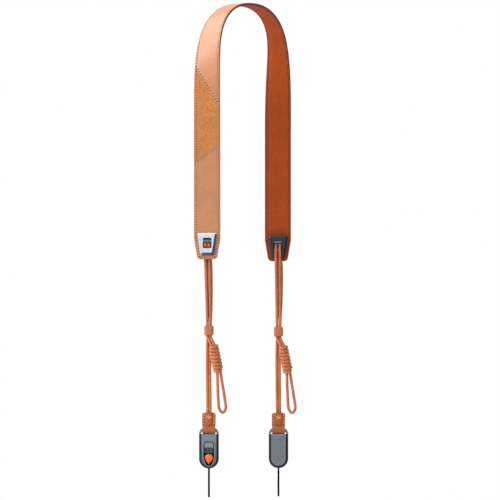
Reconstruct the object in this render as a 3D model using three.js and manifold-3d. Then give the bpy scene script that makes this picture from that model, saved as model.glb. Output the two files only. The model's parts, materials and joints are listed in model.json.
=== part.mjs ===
// Camera neck strap: a two-layer leather neck band with a cord, knot and quick-release housing at each end.
// Millimetres. X runs from the left leg to the right one, +Y away from the viewer, +Z up.
// The origin is the neck seat: the middle of the band's inner face, at the top of its arch.
import * as THREE from 'three';
import * as BufferGeometryUtils from 'three/addons/utils/BufferGeometryUtils.js';
import Module from 'manifold-3d';

// Neck band
const bandWidth = 27;
const liningThickness = 1.1;
const faceThickness = 1.1;
const layerGap = 0.3;
const clearance = 0.3;
const archRadius = 53;
const topTurn = 58.8;
const straightFrom = 200;
const tipTaper = 22;
const tipCorner = 4.2;
const tipFlat = 12.6;

// Length of the band's legs, each measured along it from the neck seat
const legLength = { left: 291, right: 293 };

// Slanted seams on the left leg: how far below the neck seat each meets the band's far and near side
const suedeTop = { far: 64.3, near: 109 };
const suedeBottom = { far: 165, near: 144.5 };

// Plates at the band's tips, heights measured up from the tip
const outerPlate = { top: 27.2, bottom: 3.8, topWidth: 20, bottomWidth: 14.2, thickness: 1.9 };
const outerChamfer = { side: 2.3, top: 1.2, bottom: 3, depth: 1.1, corner: 1.8 };
const outerWindow = { play: 0.9, top: 22.2, bottom: 11.4, corner: 1.5 };
const crossbar = { height: 19.3, thickness: 1.6, depth: 1.2, sink: 0.4, seat: 0.3 };
const innerPlate = { top: 27.4, bottom: 2.5, topWidth: 21, bottomWidth: 13.4, thickness: 5 };
const innerChamfer = { side: 1.9, top: 1.9, bottom: 0.8, depth: 1.4, corner: 3 };
const channel = { play: 1, top: 20.8, corner: 2 };
const pin = { height: 14.6, radius: 1.1, length: 13, inset: 0.6 };
const leatherWindow = { top: 22.6, bottom: 5.6 };

// Cord, sleeve and knot. Each drop or gap is measured downwards: the sleeve's from the tip, the
// knot's from the sleeve's lower end, and the tail loop's length from the knot's lower end
const cordDiameter = 3;
const pinPitch = 4.2;
const sleeve = { drop: 69.4, length: 10, wall: 1.3, corner: 2.2 };
const knot = { gap: 9.6, length: 28.4, radius: 5.6, wraps: 7, groove: 0.55, play: 0.15, sides: 12 };
const knotShift = { top: 4.3, bottom: 10.2 };
const tail = { length: 42.6, width: 7.6, shift: 14.4 };

// How far the cord's back pair hangs to the side above the sleeve, from low to high
const backRows = [
  { drop: 44, shift: 1.3 },
  { drop: 11, shift: 1.8 },
];

// The tail loop's rows: how far down it, its width, and its sideways drift, all as shares
const tailRows = [
  { share: 0.3, spread: 0.66, drift: 0.32 },
  { share: 0.68, spread: 0.9, drift: 0.72 },
  { share: 0.91, spread: 0.86, drift: 0.94 },
];

// Leather tab that ties the cord to the housing: its layers part above the housing to go round its bar
const tab = { drop: 160.2, length: 15.8, width: 14, layer: 1.2, corner: 1.8, pocket: 12.6, taper: 1.6 };
const ridge = { wall: 0.9, foot: 0.8 };
const parting = { height: 3.4, bend: 2, low: -0.6 };

// Quick-release housing, heights measured down from its top
const housing = { width: 20.5, height: 42.3, depth: 10, corner: 5.8, edge: 1.5 };
const bar = { height: 4.8, depth: 4.8 };
const slot = { play: 1.2, drop: 0.6, corner: 0.8 };
const pocket = { top: 14.2, width: 11, corner: 3.2, shoulder: 29.6, bend: 3.2, tipWidth: 4.2, wall: 3.1 };
const button = { height: 11.6, thickness: 3.4, sink: 0.3, travel: 1.2 };
const dish = { depth: 0.9, radius: 6, height: 2.6 };
const anchor = { gap: 0.9, sink: 0.6, play: 0.4, foot: 1.2, footWidth: 2.8 };
const anchorCord = { diameter: 2, drop: 30.2, spread: 3.4, cover: 0.8 };

// Sizes that follow from the ones above
const bandThickness = liningThickness + layerGap + faceThickness;
const cordRadius = cordDiameter / 2;
const strandPitch = cordDiameter + clearance;
const outerWindowWidth = pinPitch + cordDiameter + 2 * outerWindow.play;
const channelWidth = pinPitch + cordDiameter + 2 * channel.play;
const ribLength = outerWindowWidth + 2 * crossbar.seat;
const leatherWindowWidth = ribLength + 2 * clearance;
const pinSlot = { width: pin.length + 2 * clearance, height: 2 * (pin.radius + clearance) };
const knotDrop = sleeve.drop + sleeve.length + knot.gap;
const knotEnd = knotDrop + knot.length;
const knotY = clearance - knot.radius;
const knotBore = strandPitch / 2 + cordRadius + clearance + knot.play;
const tailEnd = knotEnd + tail.length;
const housingDrop = tab.drop + tab.length;
const slotWidth = tab.width + 2 * slot.play;
const slotLow = -bar.height - tab.layer - slot.drop;
const pocketDepth = button.sink + button.thickness + button.travel + clearance;
const buttonLow = -pocket.top - clearance - button.height;
const anchorDepth = pocketDepth - anchor.sink - clearance;
const pocketBottom = housing.height - pocket.wall;
const anchorLow = anchor.foot - pocketBottom;
const anchorRadius = anchorCord.diameter / 2;
const anchorPitch = anchorCord.diameter + clearance;
const outletDepth = anchorPitch + anchorCord.diameter + 2 * clearance;
const outletMiddle = anchorCord.cover + outletDepth / 2 - housing.depth / 2;

// One row for each leg. Bend and fade are shares of the arch radius: how fast the band turns
// downwards, and how far down the leg its sideways turn fades out.
const legs = [
  { name: 'left', sign: -1, bend: 1.09, power: 1, fade: 3.1, fadePower: 0.8, aside: 1.8 },
  { name: 'right', sign: 1, bend: 0.93, power: 1.33, fade: 3.05, fadePower: 1.2, aside: 0.6 },
].map((leg) => ({ ...leg, length: legLength[leg.name] }));

const paint = {
  smoothLeather: { color: 0xcd8c62, roughness: 0.5, metalness: 0 },
  suede: { color: 0xd08c4e, roughness: 0.95, metalness: 0 },
  lining: { color: 0xaa481e, roughness: 0.7, metalness: 0 },
  steel: { color: 0xe1e6f0, roughness: 0.25, metalness: 1 },
  blackMetal: { color: 0x282d3a, roughness: 0.35, metalness: 0.7 },
  cordLeather: { color: 0xcd7d55, roughness: 0.6, metalness: 0 },
  greyPlastic: { color: 0x5f6770, roughness: 0.55, metalness: 0 },
  orangePlastic: { color: 0xf06428, roughness: 0.45, metalness: 0 },
  blackCord: { color: 0x14161e, roughness: 0.7, metalness: 0 },
};
const materials = Object.fromEntries(
  Object.entries(paint).map(([name, values]) => [name, new THREE.MeshStandardMaterial(values)]),
);

const wasm = await Module();
wasm.setup();

// Closed geometry from corners and triangles, turned so that its faces point outwards.
function closedGeometry(corners, triangles) {
  let volume = 0;
  for (const [a, b, c] of triangles) {
    volume += corners[a].dot(new THREE.Vector3().crossVectors(corners[b], corners[c]));
  }
  const index = triangles.flatMap(([a, b, c]) => (volume > 0 ? [a, b, c] : [a, c, b]));
  const geometry = new THREE.BufferGeometry();
  const values = corners.flatMap((corner) => corner.toArray());
  geometry.setAttribute('position', new THREE.Float32BufferAttribute(values, 3));
  geometry.setIndex(index);
  return geometry;
}

function toSolid(geometry) {
  const bare = geometry.clone();
  bare.deleteAttribute('normal');
  bare.deleteAttribute('uv');
  const merged = BufferGeometryUtils.mergeVertices(bare, 1e-4);
  const vertProperties = new Float32Array(merged.attributes.position.array);
  const triVerts = new Uint32Array(merged.index.array);
  return new wasm.Manifold(new wasm.Mesh({ numProp: 3, vertProperties, triVerts }));
}

function toGeometry(solid) {
  const mesh = solid.getMesh();
  const geometry = new THREE.BufferGeometry();
  geometry.setAttribute('position', new THREE.BufferAttribute(mesh.vertProperties, 3));
  geometry.setIndex(new THREE.BufferAttribute(mesh.triVerts, 1));
  return geometry;
}

function cut(geometry, ...tools) {
  return toGeometry(tools.reduce((solid, tool) => solid.subtract(toSolid(tool)), toSolid(geometry)));
}

function join(geometry, ...others) {
  return toGeometry(others.reduce((solid, other) => solid.add(toSolid(other)), toSolid(geometry)));
}

// Box given by its centre and its size along X, Y and Z.
function block(x, y, z, sizeX, sizeY, sizeZ) {
  return new THREE.BoxGeometry(sizeX, sizeY, sizeZ).translate(x, y, z);
}

// Prism of a flat XZ shape, running from y = from to y = to.
function prism(shape, from, to, curveSegments = 5) {
  const solid = new THREE.ExtrudeGeometry(shape, { depth: to - from, bevelEnabled: false, curveSegments });
  return solid.rotateX(Math.PI / 2).translate(0, to, 0);
}

// Closed skin over a row of convex rings that all have the same number of corners.
function ringStack(rings) {
  const count = rings[0].length;
  const triangles = [];
  for (let ring = 1; ring < rings.length; ring += 1) {
    for (let i = 0; i < count; i += 1) {
      const j = (i + 1) % count;
      const low = (ring - 1) * count;
      const high = ring * count;
      triangles.push([low + i, low + j, high + j], [low + i, high + j, high + i]);
    }
  }
  const last = (rings.length - 1) * count;
  for (let i = 2; i < count; i += 1) {
    triangles.push([0, i, i - 1], [last, last + i - 1, last + i]);
  }
  return closedGeometry(rings.flat(), triangles);
}

function roundedBox(centreX, lowZ, highZ, width, corner) {
  const left = centreX - width / 2;
  const right = centreX + width / 2;
  const shape = new THREE.Shape();
  shape.moveTo(left + corner, lowZ);
  shape.lineTo(right - corner, lowZ);
  shape.absarc(right - corner, lowZ + corner, corner, -Math.PI / 2, 0);
  shape.lineTo(right, highZ - corner);
  shape.absarc(right - corner, highZ - corner, corner, 0, Math.PI / 2);
  shape.lineTo(left + corner, highZ);
  shape.absarc(left + corner, highZ - corner, corner, Math.PI / 2, Math.PI);
  shape.lineTo(left, lowZ + corner);
  shape.absarc(left + corner, lowZ + corner, corner, Math.PI, 1.5 * Math.PI);
  return shape;
}

// The band's course down one leg: arc length from the top centre gives its place, the direction
// across it from far edge to near edge, and the outward normal.
function legCourse(leg) {
  const step = 1;
  const bend = leg.bend * archRadius;
  const fade = leg.fade * archRadius;
  const full = Math.tanh((straightFrom / bend) ** leg.power);
  const place = new THREE.Vector3();
  const course = [];
  for (let arc = 0; arc <= leg.length + step; arc += step) {
    const incline = (Math.PI / 2) * Math.min(1, Math.tanh((arc / bend) ** leg.power) / full);
    const faded = Math.min(1, (arc / fade) ** leg.fadePower);
    const turn = (THREE.MathUtils.degToRad(topTurn) * (1 + Math.cos(Math.PI * faded))) / 2;
    const ahead = new THREE.Vector3(Math.sin(turn), Math.cos(turn), 0).multiplyScalar(leg.sign);
    const along = ahead.clone().multiplyScalar(Math.cos(incline));
    along.z = -Math.sin(incline);
    const normal = ahead.multiplyScalar(Math.sin(incline));
    normal.z = Math.cos(incline);
    const across = new THREE.Vector3(Math.cos(turn), -Math.sin(turn), 0);
    course.push({ place: place.clone(), across, normal });
    place.addScaledVector(along, step);
  }
  return (arc) => {
    const low = Math.min(Math.floor(arc / step), course.length - 2);
    const share = arc / step - low;
    const between = (key) => course[low][key].clone().lerp(course[low + 1][key], share);
    return { place: between('place'), across: between('across'), normal: between('normal') };
  };
}
const courses = Object.fromEntries(legs.map((leg) => [leg.sign, legCourse(leg)]));

function bandPoint(arc, offset, height) {
  const at = courses[arc < 0 ? -1 : 1](Math.abs(arc));
  return at.place.addScaledVector(at.across, offset).addScaledVector(at.normal, height);
}

// Both leather layers share their rows round the arch, so that they stay the same gap apart.
const archSteps = 26;
const archEnd = 2.2 * archRadius;
const archStep = archEnd / archSteps;

function rowsBetween(from, to, step) {
  const steps = Math.round(Math.abs(to - from) / step);
  return Array.from({ length: steps }, (_, i) => ({
    arc: THREE.MathUtils.lerp(from, to, i / steps),
    half: bandWidth / 2,
  }));
}

// Rows of the whole band from the left tip to the right one: signed arc and half width.
function tipRows(leg) {
  const shoulder = tipFlat / 2 + tipCorner;
  const rows = [{ fromTip: tipTaper, half: bandWidth / 2 }];
  for (const degrees of [0, 30, 60, 90]) {
    const angle = THREE.MathUtils.degToRad(degrees);
    const fromTip = tipCorner * (1 - Math.sin(angle));
    rows.push({ fromTip, half: shoulder - tipCorner * (1 - Math.cos(angle)) });
  }
  return rows.map(({ fromTip, half }) => ({ arc: leg.sign * (leg.length - fromTip), half }));
}

function bandRows(leftLeg, rightLeg) {
  return [
    ...tipRows(leftLeg).reverse().slice(0, -1),
    ...rowsBetween(tipTaper - leftLeg.length, -archEnd, 4 * archStep),
    ...rowsBetween(-archEnd, archEnd, archStep),
    ...rowsBetween(archEnd, rightLeg.length - tipTaper, 4 * archStep),
    ...tipRows(rightLeg),
  ];
}

function leatherLayer(rows, inner, outer) {
  const cells = 3;
  const columns = cells + 1;
  const corners = [];
  for (const height of [inner, outer]) {
    for (const row of rows) {
      for (let i = 0; i < columns; i += 1) {
        corners.push(bandPoint(row.arc, row.half * ((2 * i) / cells - 1), height));
      }
    }
  }
  const shift = rows.length * columns;
  const triangles = [];
  const quad = (a, b, c, d) => triangles.push([a, b, c], [a, c, d]);
  for (let r = 0; r + 1 < rows.length; r += 1) {
    for (let i = 0; i < cells; i += 1) {
      const low = r * columns + i;
      quad(low, low + 1, low + columns + 1, low + columns);
      quad(shift + low, shift + low + columns, shift + low + columns + 1, shift + low + 1);
    }
    const far = r * columns;
    const near = far + cells;
    quad(far, far + columns, shift + far + columns, shift + far);
    quad(near, shift + near, shift + near + columns, near + columns);
  }
  const end = (rows.length - 1) * columns;
  for (let i = 0; i < cells; i += 1) {
    quad(i, shift + i, shift + i + 1, i + 1);
    quad(end + i, end + i + 1, shift + end + i + 1, shift + end + i);
  }
  return closedGeometry(corners, triangles);
}

// Everything on a leg's end is set out from the middle of the band's tip, on its inner face.
function endFrame(leg) {
  const tip = bandPoint(leg.sign * leg.length, 0, 0);
  const hang = new THREE.Vector3(leg.aside, leg.sign * (-clearance - cordRadius - strandPitch / 2), 0);
  return { tip, centre: tip.clone().add(hang) };
}

// Height h is measured outwards from the band's inner face, x from the leg's middle, z from its tip.
function outward(leg, tip, height) {
  return tip.y + leg.sign * height;
}

function windowCuts(leg) {
  const { tip } = endFrame(leg);
  const middle = outward(leg, tip, bandThickness / 2);
  const { top, bottom } = leatherWindow;
  const deep = 4 * bandThickness;
  return [
    block(tip.x, middle, tip.z + (top + bottom) / 2, leatherWindowWidth, deep, top - bottom),
    block(tip.x, middle, tip.z + pin.height, pinSlot.width, deep, pinSlot.height),
  ];
}

// Everything of the left leg below a slanted seam that is moved up by the given rise.
function belowSeam(leg, seam, rise) {
  const { tip } = endFrame(leg);
  const half = bandWidth / 2;
  const slope = (seam.far - seam.near) / bandWidth;
  const reach = half + 2;
  const heightAt = (x) => rise - (seam.far + seam.near) / 2 + slope * x;
  const shape = new THREE.Shape();
  shape.moveTo(tip.x - reach, tip.z - half);
  shape.lineTo(tip.x + reach, tip.z - half);
  shape.lineTo(tip.x + reach, heightAt(reach));
  shape.lineTo(tip.x - reach, heightAt(-reach));
  return prism(shape, tip.y - bandWidth, tip.y + bandWidth);
}

// Outline of a plate, wider at the top, with cut corners. Inset 1 is the inner end of its chamfer.
function plateRing(plate, chamfer, inset, y, tip) {
  const side = inset * chamfer.side;
  const high = tip.z + plate.top - inset * chamfer.top;
  const low = tip.z + plate.bottom + inset * chamfer.bottom;
  const topHalf = plate.topWidth / 2 - side;
  const bottomHalf = plate.bottomWidth / 2 - side;
  const corner = chamfer.corner * (1 - 0.4 * inset);
  const foot = corner * 0.6;
  const right = [
    [topHalf - corner, high], [topHalf - 0.3 * corner, high - 0.3 * corner], [topHalf, high - corner],
    [bottomHalf + 0.25 * foot, low + foot], [bottomHalf - foot, low],
  ];
  const left = right.map(([x, z]) => [-x, z]).reverse();
  return [...right, ...left].map(([x, z]) => new THREE.Vector3(tip.x + x, y, z));
}

function makeOuterPlate(leg) {
  const { tip } = endFrame(leg);
  const base = bandThickness + clearance;
  const face = base + outerPlate.thickness;
  const ring = (inset, height) => plateRing(outerPlate, outerChamfer, inset, outward(leg, tip, height), tip);
  const slab = ringStack([ring(0, base), ring(0, face - outerChamfer.depth), ring(1, face)]);
  const { top, bottom, corner } = outerWindow;
  const opening = roundedBox(tip.x, tip.z + bottom, tip.z + top, outerWindowWidth, corner);
  const reach = leg.sign * 2 * face;
  const hole = prism(opening, tip.y - Math.abs(reach), tip.y + Math.abs(reach));
  const ribY = outward(leg, tip, base - crossbar.sink + crossbar.depth / 2);
  const rib = block(tip.x, ribY, tip.z + crossbar.height, ribLength, crossbar.depth, crossbar.thickness);
  return join(cut(slab, hole), rib);
}

function makeInnerPlate(leg) {
  const { tip } = endFrame(leg);
  const base = -clearance;
  const face = base - innerPlate.thickness;
  const ring = (inset, height) => plateRing(innerPlate, innerChamfer, inset, outward(leg, tip, height), tip);
  const slab = ringStack([ring(0, base), ring(0, face + innerChamfer.depth), ring(1, face)]);
  const { top, corner } = channel;
  const groove = roundedBox(tip.x, tip.z - 2 * corner, tip.z + top, channelWidth, corner);
  const reach = Math.abs(face) + 1;
  const seatY = outward(leg, tip, base - pinSlot.height / 2 + pin.inset);
  return cut(
    slab,
    prism(groove, tip.y - reach, tip.y + reach),
    block(tip.x, seatY, tip.z + pin.height, pinSlot.width, pinSlot.height + pin.inset, pinSlot.height),
  );
}

function makePin(leg) {
  const { tip } = endFrame(leg);
  const rod = new THREE.CylinderGeometry(pin.radius, pin.radius, pin.length, 10).rotateZ(Math.PI / 2);
  return rod.translate(tip.x, outward(leg, tip, -pin.inset), tip.z + pin.height);
}

// A curve whose own points set the steps, so that bends get short ones and straights long ones.
class CordRoute extends THREE.CatmullRomCurve3 {
  getPointAt(share, target) {
    return this.getPoint(share, target);
  }

  getTangentAt(share, target) {
    return this.getTangent(share, target);
  }
}

function makeTube(points, radius, stepsPerPoint) {
  const section = new THREE.Shape();
  const sides = 8;
  for (let i = 0; i < sides; i += 1) {
    const angle = (2 * Math.PI * i) / sides;
    const put = i === 0 ? 'moveTo' : 'lineTo';
    section[put](radius * Math.cos(angle), radius * Math.sin(angle));
  }
  const route = new CordRoute(points);
  const steps = (points.length - 1) * stepsPerPoint;
  return new THREE.ExtrudeGeometry(section, { steps, extrudePath: route, bevelEnabled: false });
}

// Half of a leg's cord, from its end in the tab up over the pin and down through the knot to the
// bottom of the tail loop. Side is -1 for the left strand and 1 for the right one.
function strandPoints(leg, side) {
  const { tip, centre } = endFrame(leg);
  const at = (x, y, drop) => new THREE.Vector3(centre.x + x, centre.y + y, tip.z - drop);
  const half = strandPitch / 2;
  const back = half;
  const front = -half;
  const inPlate = (height, rise) =>
    new THREE.Vector3(tip.x + (side * pinPitch) / 2, outward(leg, tip, height), tip.z + rise);
  const wrap = pin.radius + clearance + cordRadius;
  const inner = -clearance - cordRadius - strandPitch;
  const near = -clearance - cordRadius;
  const wrapPoints = [-45, 10, 65, 120, 175].map((degrees) => {
    const angle = THREE.MathUtils.degToRad(degrees);
    return inPlate(wrap * Math.cos(angle) - pin.inset, pin.height + wrap * Math.sin(angle));
  });
  const loop = [
    inPlate(near, pin.height - 9.4),
    inPlate(-pin.inset + 0.7, pin.height - 4.1),
    ...wrapPoints,
    inPlate(inner, pin.height - 6),
  ];
  // On the left leg the back pair is the one farther from the band, on the right leg the front pair.
  const upLoop = leg.sign < 0 ? loop.slice().reverse() : loop;
  // Between the sleeve and the pin the back pair hangs beside the front one.
  const backRow = ({ drop, shift }) => {
    const atPin = (side * pinPitch) / 2 - leg.aside;
    return at(THREE.MathUtils.lerp(atPin, side * half, drop / sleeve.drop) + shift, back, drop);
  };
  return [
    at(side * half, 0, tab.drop + tab.pocket - clearance),
    at(side * half, 0, tab.drop + 1),
    at(side * half - 0.4, back, knotDrop + 14),
    at(side * half, back, sleeve.drop + sleeve.length + 1),
    at(side * half, back, sleeve.drop - 2),
    ...backRows.map(backRow),
    ...upLoop,
    at(side * half, front, sleeve.drop - 2),
    at(side * half, front, sleeve.drop + sleeve.length + 1),
    at(knotShift.top + side * half, knotY, knotDrop + 1),
    at(knotShift.bottom + side * half, knotY, knotEnd - 1),
    ...tailRows.map(({ share, spread, drift }) => at(
      THREE.MathUtils.lerp(knotShift.bottom, tail.shift, drift) + (side * tail.width * spread) / 2,
      knotY,
      THREE.MathUtils.lerp(knotEnd, tailEnd, share),
    )),
  ];
}

function makeCord(leg) {
  const { tip, centre } = endFrame(leg);
  const bottom = new THREE.Vector3(centre.x + tail.shift, centre.y + knotY, tip.z - tailEnd);
  const route = [...strandPoints(leg, -1), bottom, ...strandPoints(leg, 1).reverse()];
  return makeTube(route, cordRadius, 2);
}

function makeSleeve(leg) {
  const { tip, centre } = endFrame(leg);
  const low = tip.z - sleeve.drop - sleeve.length;
  const inner = strandPitch + cordDiameter + 2 * clearance;
  const outer = inner + 2 * sleeve.wall;
  const section = roundedBox(0, -outer / 2, outer / 2, outer, sleeve.corner);
  section.holes.push(roundedBox(0, -inner / 2, inner / 2, inner, sleeve.corner - sleeve.wall));
  const options = { depth: sleeve.length, bevelEnabled: false, curveSegments: 3 };
  return new THREE.ExtrudeGeometry(section, options).translate(centre.x, centre.y, low);
}

// Barrel of wraps with a bore for the two strands: the profile closes on itself.
function makeKnot(leg) {
  const { tip, centre } = endFrame(leg);
  const { length, radius, wraps, groove } = knot;
  const profile = [new THREE.Vector2(knotBore, 0)];
  for (let wrap = 0; wrap < wraps; wrap += 1) {
    for (const [share, depth] of [[0.04, 1], [0.28, 0.2], [0.5, 0], [0.72, 0.2]]) {
      const along = (wrap + share) / wraps;
      const endDrop = Math.max(0, Math.abs(2 * along - 1) - 0.72) * 4.2;
      profile.push(new THREE.Vector2(radius - groove * depth - endDrop, along * length));
    }
  }
  profile.push(new THREE.Vector2(knotBore, length), new THREE.Vector2(knotBore, 0));
  const barrel = new THREE.LatheGeometry(profile, knot.sides).rotateX(Math.PI / 2);
  const at = (x, drop) => new THREE.Vector3(centre.x + x, centre.y + knotY, tip.z - drop);
  const top = at(knotShift.top, knotDrop);
  const lean = at(knotShift.bottom, knotEnd).sub(top).normalize();
  const turn = new THREE.Quaternion().setFromUnitVectors(new THREE.Vector3(0, 0, 1), lean);
  return barrel.applyQuaternion(turn).translate(top.x, top.y, top.z);
}

// The tab is sewn flat round the cord's ends and loops round the housing's top bar.
function makeTab(leg) {
  const { tip, centre } = endFrame(leg);
  const top = tip.z - tab.drop;
  const housingTop = tip.z - housingDrop;
  const barHalf = bar.depth / 2 + clearance;
  const loopHalf = barHalf + tab.layer;
  const inner = housingTop - bar.height - clearance;
  const outer = inner - tab.layer;
  const flatHalf = tab.layer + clearance;
  const side = new THREE.Shape();
  side.moveTo(-flatHalf, top);
  side.lineTo(flatHalf, top);
  side.lineTo(flatHalf, housingTop + parting.height);
  side.quadraticCurveTo(loopHalf, housingTop + parting.bend, loopHalf, housingTop + parting.low);
  side.lineTo(loopHalf, inner);
  side.quadraticCurveTo(loopHalf, outer, loopHalf - tab.layer, outer);
  side.lineTo(tab.layer - loopHalf, outer);
  side.quadraticCurveTo(-loopHalf, outer, -loopHalf, inner);
  side.lineTo(-loopHalf, housingTop + parting.low);
  side.quadraticCurveTo(-loopHalf, housingTop + parting.bend, -flatHalf, housingTop + parting.height);
  side.holes.push(roundedBox(0, inner, housingTop + clearance, 2 * barHalf, 0.5));
  const strip = new THREE.ExtrudeGeometry(side, { depth: tab.width, bevelEnabled: false, curveSegments: 3 });
  strip.applyMatrix4(new THREE.Matrix4().set(0, 0, 1, -tab.width / 2, 1, 0, 0, 0, 0, 1, 0, 0, 0, 0, 0, 1));
  const front = roundedBox(0, outer - tab.layer, top, tab.width, tab.corner);
  const trimmed = toSolid(strip).intersect(toSolid(prism(front, -housing.depth, housing.depth)));
  const halfX = strandPitch / 2 + cordRadius + clearance;
  const halfY = cordRadius + clearance;
  const oval = (radiusX, radiusY, z) =>
    Array.from({ length: 12 }, (_, i) => {
      const angle = (Math.PI * i) / 6;
      return new THREE.Vector3(radiusX * Math.cos(angle), radiusY * Math.sin(angle), z);
    });
  const wide = halfX + ridge.wall;
  const high = halfY + ridge.wall;
  const hump = ringStack([
    oval(wide, high, top - clearance),
    oval(wide, high, top - tab.pocket + 1),
    oval(wide * ridge.foot, flatHalf, top - tab.pocket - tab.taper),
  ]);
  const hollow = block(0, 0, top, 2 * halfX, 2 * halfY, 2 * tab.pocket);
  const solid = trimmed.add(toSolid(hump)).subtract(toSolid(hollow));
  return toGeometry(solid).translate(centre.x, centre.y, 0);
}

function pillRing(inset, y) {
  const half = housing.width / 2 - inset;
  const corner = housing.corner - inset;
  const ring = [];
  const arc = (centreX, centreZ, radius, from, to, parts) => {
    for (let i = 0; i <= parts; i += 1) {
      const angle = THREE.MathUtils.degToRad(from + ((to - from) * i) / parts);
      const across = centreX + radius * Math.cos(angle);
      ring.push(new THREE.Vector3(across, y, centreZ + radius * Math.sin(angle)));
    }
  };
  arc(0, housing.width / 2 - housing.height, half, -180, 0, 14);
  arc(half - corner, -housing.corner, corner, 0, 90, 5);
  arc(corner - half, -housing.corner, corner, 90, 180, 5);
  return ring;
}

// Outline of the front pocket, narrowed on every side by the same amount for what sits in it.
function pocketShape(shrink) {
  const half = pocket.width / 2 - shrink;
  const corner = pocket.corner - shrink;
  const top = -pocket.top - shrink;
  const tipHalf = pocket.tipWidth / 2 - shrink * 0.6;
  const low = -pocketBottom + shrink * 1.4;
  const shape = new THREE.Shape();
  shape.moveTo(-half, -pocket.shoulder);
  shape.quadraticCurveTo(-half, -pocket.shoulder - pocket.bend, -tipHalf, low);
  shape.lineTo(tipHalf, low);
  shape.quadraticCurveTo(half, -pocket.shoulder - pocket.bend, half, -pocket.shoulder);
  shape.lineTo(half, top - corner);
  shape.absarc(half - corner, top - corner, corner, 0, Math.PI / 2);
  shape.lineTo(corner - half, top);
  shape.absarc(corner - half, top - corner, corner, Math.PI / 2, Math.PI);
  return shape;
}

// Housing parts are made front-on with the housing's top at z = 0. The right housing shows its back.
function placeHousingPart(leg, geometry) {
  const { tip, centre } = endFrame(leg);
  const turned = leg.sign > 0 ? geometry.rotateZ(Math.PI) : geometry;
  return turned.translate(centre.x, centre.y, tip.z - housingDrop);
}

function makeHousing(leg) {
  const front = -housing.depth / 2;
  const { edge } = housing;
  const body = ringStack([
    pillRing(edge, front), pillRing(edge * 0.3, front + edge * 0.45), pillRing(0, front + edge),
    pillRing(0, -front - edge), pillRing(edge * 0.3, -front - edge * 0.45), pillRing(edge, -front),
  ]);
  const step = (housing.depth - bar.depth) / 2;
  const stepMiddle = (bar.depth + step) / 2 + 1;
  const recess = (sign) =>
    block(0, sign * stepMiddle, slotLow / 2 + 1, housing.width + 2, step + 2, 2 - slotLow);
  const outletWidth = anchorCord.diameter + 2 * clearance;
  const outletHeight = 2 * (housing.height + anchorLow);
  return placeHousingPart(leg, cut(
    body,
    recess(-1),
    recess(1),
    prism(roundedBox(0, slotLow, -bar.height, slotWidth, slot.corner), -housing.depth, housing.depth),
    prism(pocketShape(0), front - 1, front + pocketDepth),
    block(0, outletMiddle, -housing.height, outletWidth, outletDepth, outletHeight),
  ));
}

function makeButton(leg) {
  const front = button.sink - housing.depth / 2;
  const whole = prism(pocketShape(clearance + 0.1), front, front + button.thickness);
  const { width } = pocket;
  const keep = block(0, front, buttonLow + button.height, 2 * width, 4 * housing.depth, 2 * button.height);
  const hollow = new THREE.CylinderGeometry(dish.radius, dish.radius, width, 16).rotateZ(Math.PI / 2);
  hollow.translate(0, front + dish.depth - dish.radius, buttonLow + dish.height);
  const solid = toSolid(whole).intersect(toSolid(keep)).subtract(toSolid(hollow));
  return placeHousingPart(leg, toGeometry(solid));
}

// Teardrop with a domed front: rows are scale and depth behind the front.
function makeAnchor(leg) {
  const front = anchor.sink - housing.depth / 2;
  const widest = pocket.width / 2 - clearance - anchor.play;
  const middle = buttonLow - anchor.gap - widest * 0.85;
  const ring = (scale, y) => {
    const half = widest * scale;
    const low = middle - (middle - anchorLow) * scale;
    const foot = (anchor.footWidth * scale) / 2;
    const outline = Array.from({ length: 11 }, (_, i) => {
      const angle = (Math.PI * i) / 10;
      return [half * Math.cos(angle), middle + half * 0.85 * Math.sin(angle)];
    });
    const waist = half * 0.72;
    const waistZ = (middle + low) / 2;
    outline.push([-waist, waistZ], [-foot, low], [foot, low], [waist, waistZ]);
    return outline.map(([x, z]) => new THREE.Vector3(x, y, z));
  };
  const rows = [[0.55, 0], [0.86, 0.13], [1, 0.34], [1, 1]];
  const disc = ringStack(rows.map(([scale, depth]) => ring(scale, front + depth * anchorDepth)));
  return placeHousingPart(leg, disc);
}

// The anchor's cord leaves it downwards, hangs as a narrow loop front to back and comes up again.
function makeAnchorCord(leg) {
  const { drop, spread } = anchorCord;
  const start = anchorLow - clearance;
  const low = anchorRadius - housing.height - drop;
  const rows = [
    { share: 0, out: 0 }, { share: 0.06, out: 0 }, { share: 0.14, out: 0 }, { share: 0.36, out: 0.35 },
    { share: 0.6, out: 0.85 }, { share: 0.82, out: 1 }, { share: 0.94, out: 0.72 },
  ];
  const strand = (side) => rows.map(({ share, out }) => new THREE.Vector3(
    0,
    outletMiddle + side * THREE.MathUtils.lerp(anchorPitch / 2, spread, out),
    THREE.MathUtils.lerp(start, low, share),
  ));
  const points = [...strand(-1), new THREE.Vector3(0, outletMiddle, low), ...strand(1).reverse()];
  return placeHousingPart(leg, makeTube(points, anchorRadius, 2));
}

const group = new THREE.Group();

function addPiece(name, geometry, material) {
  const mesh = new THREE.Mesh(geometry, material);
  mesh.name = name;
  group.add(mesh);
}

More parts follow.
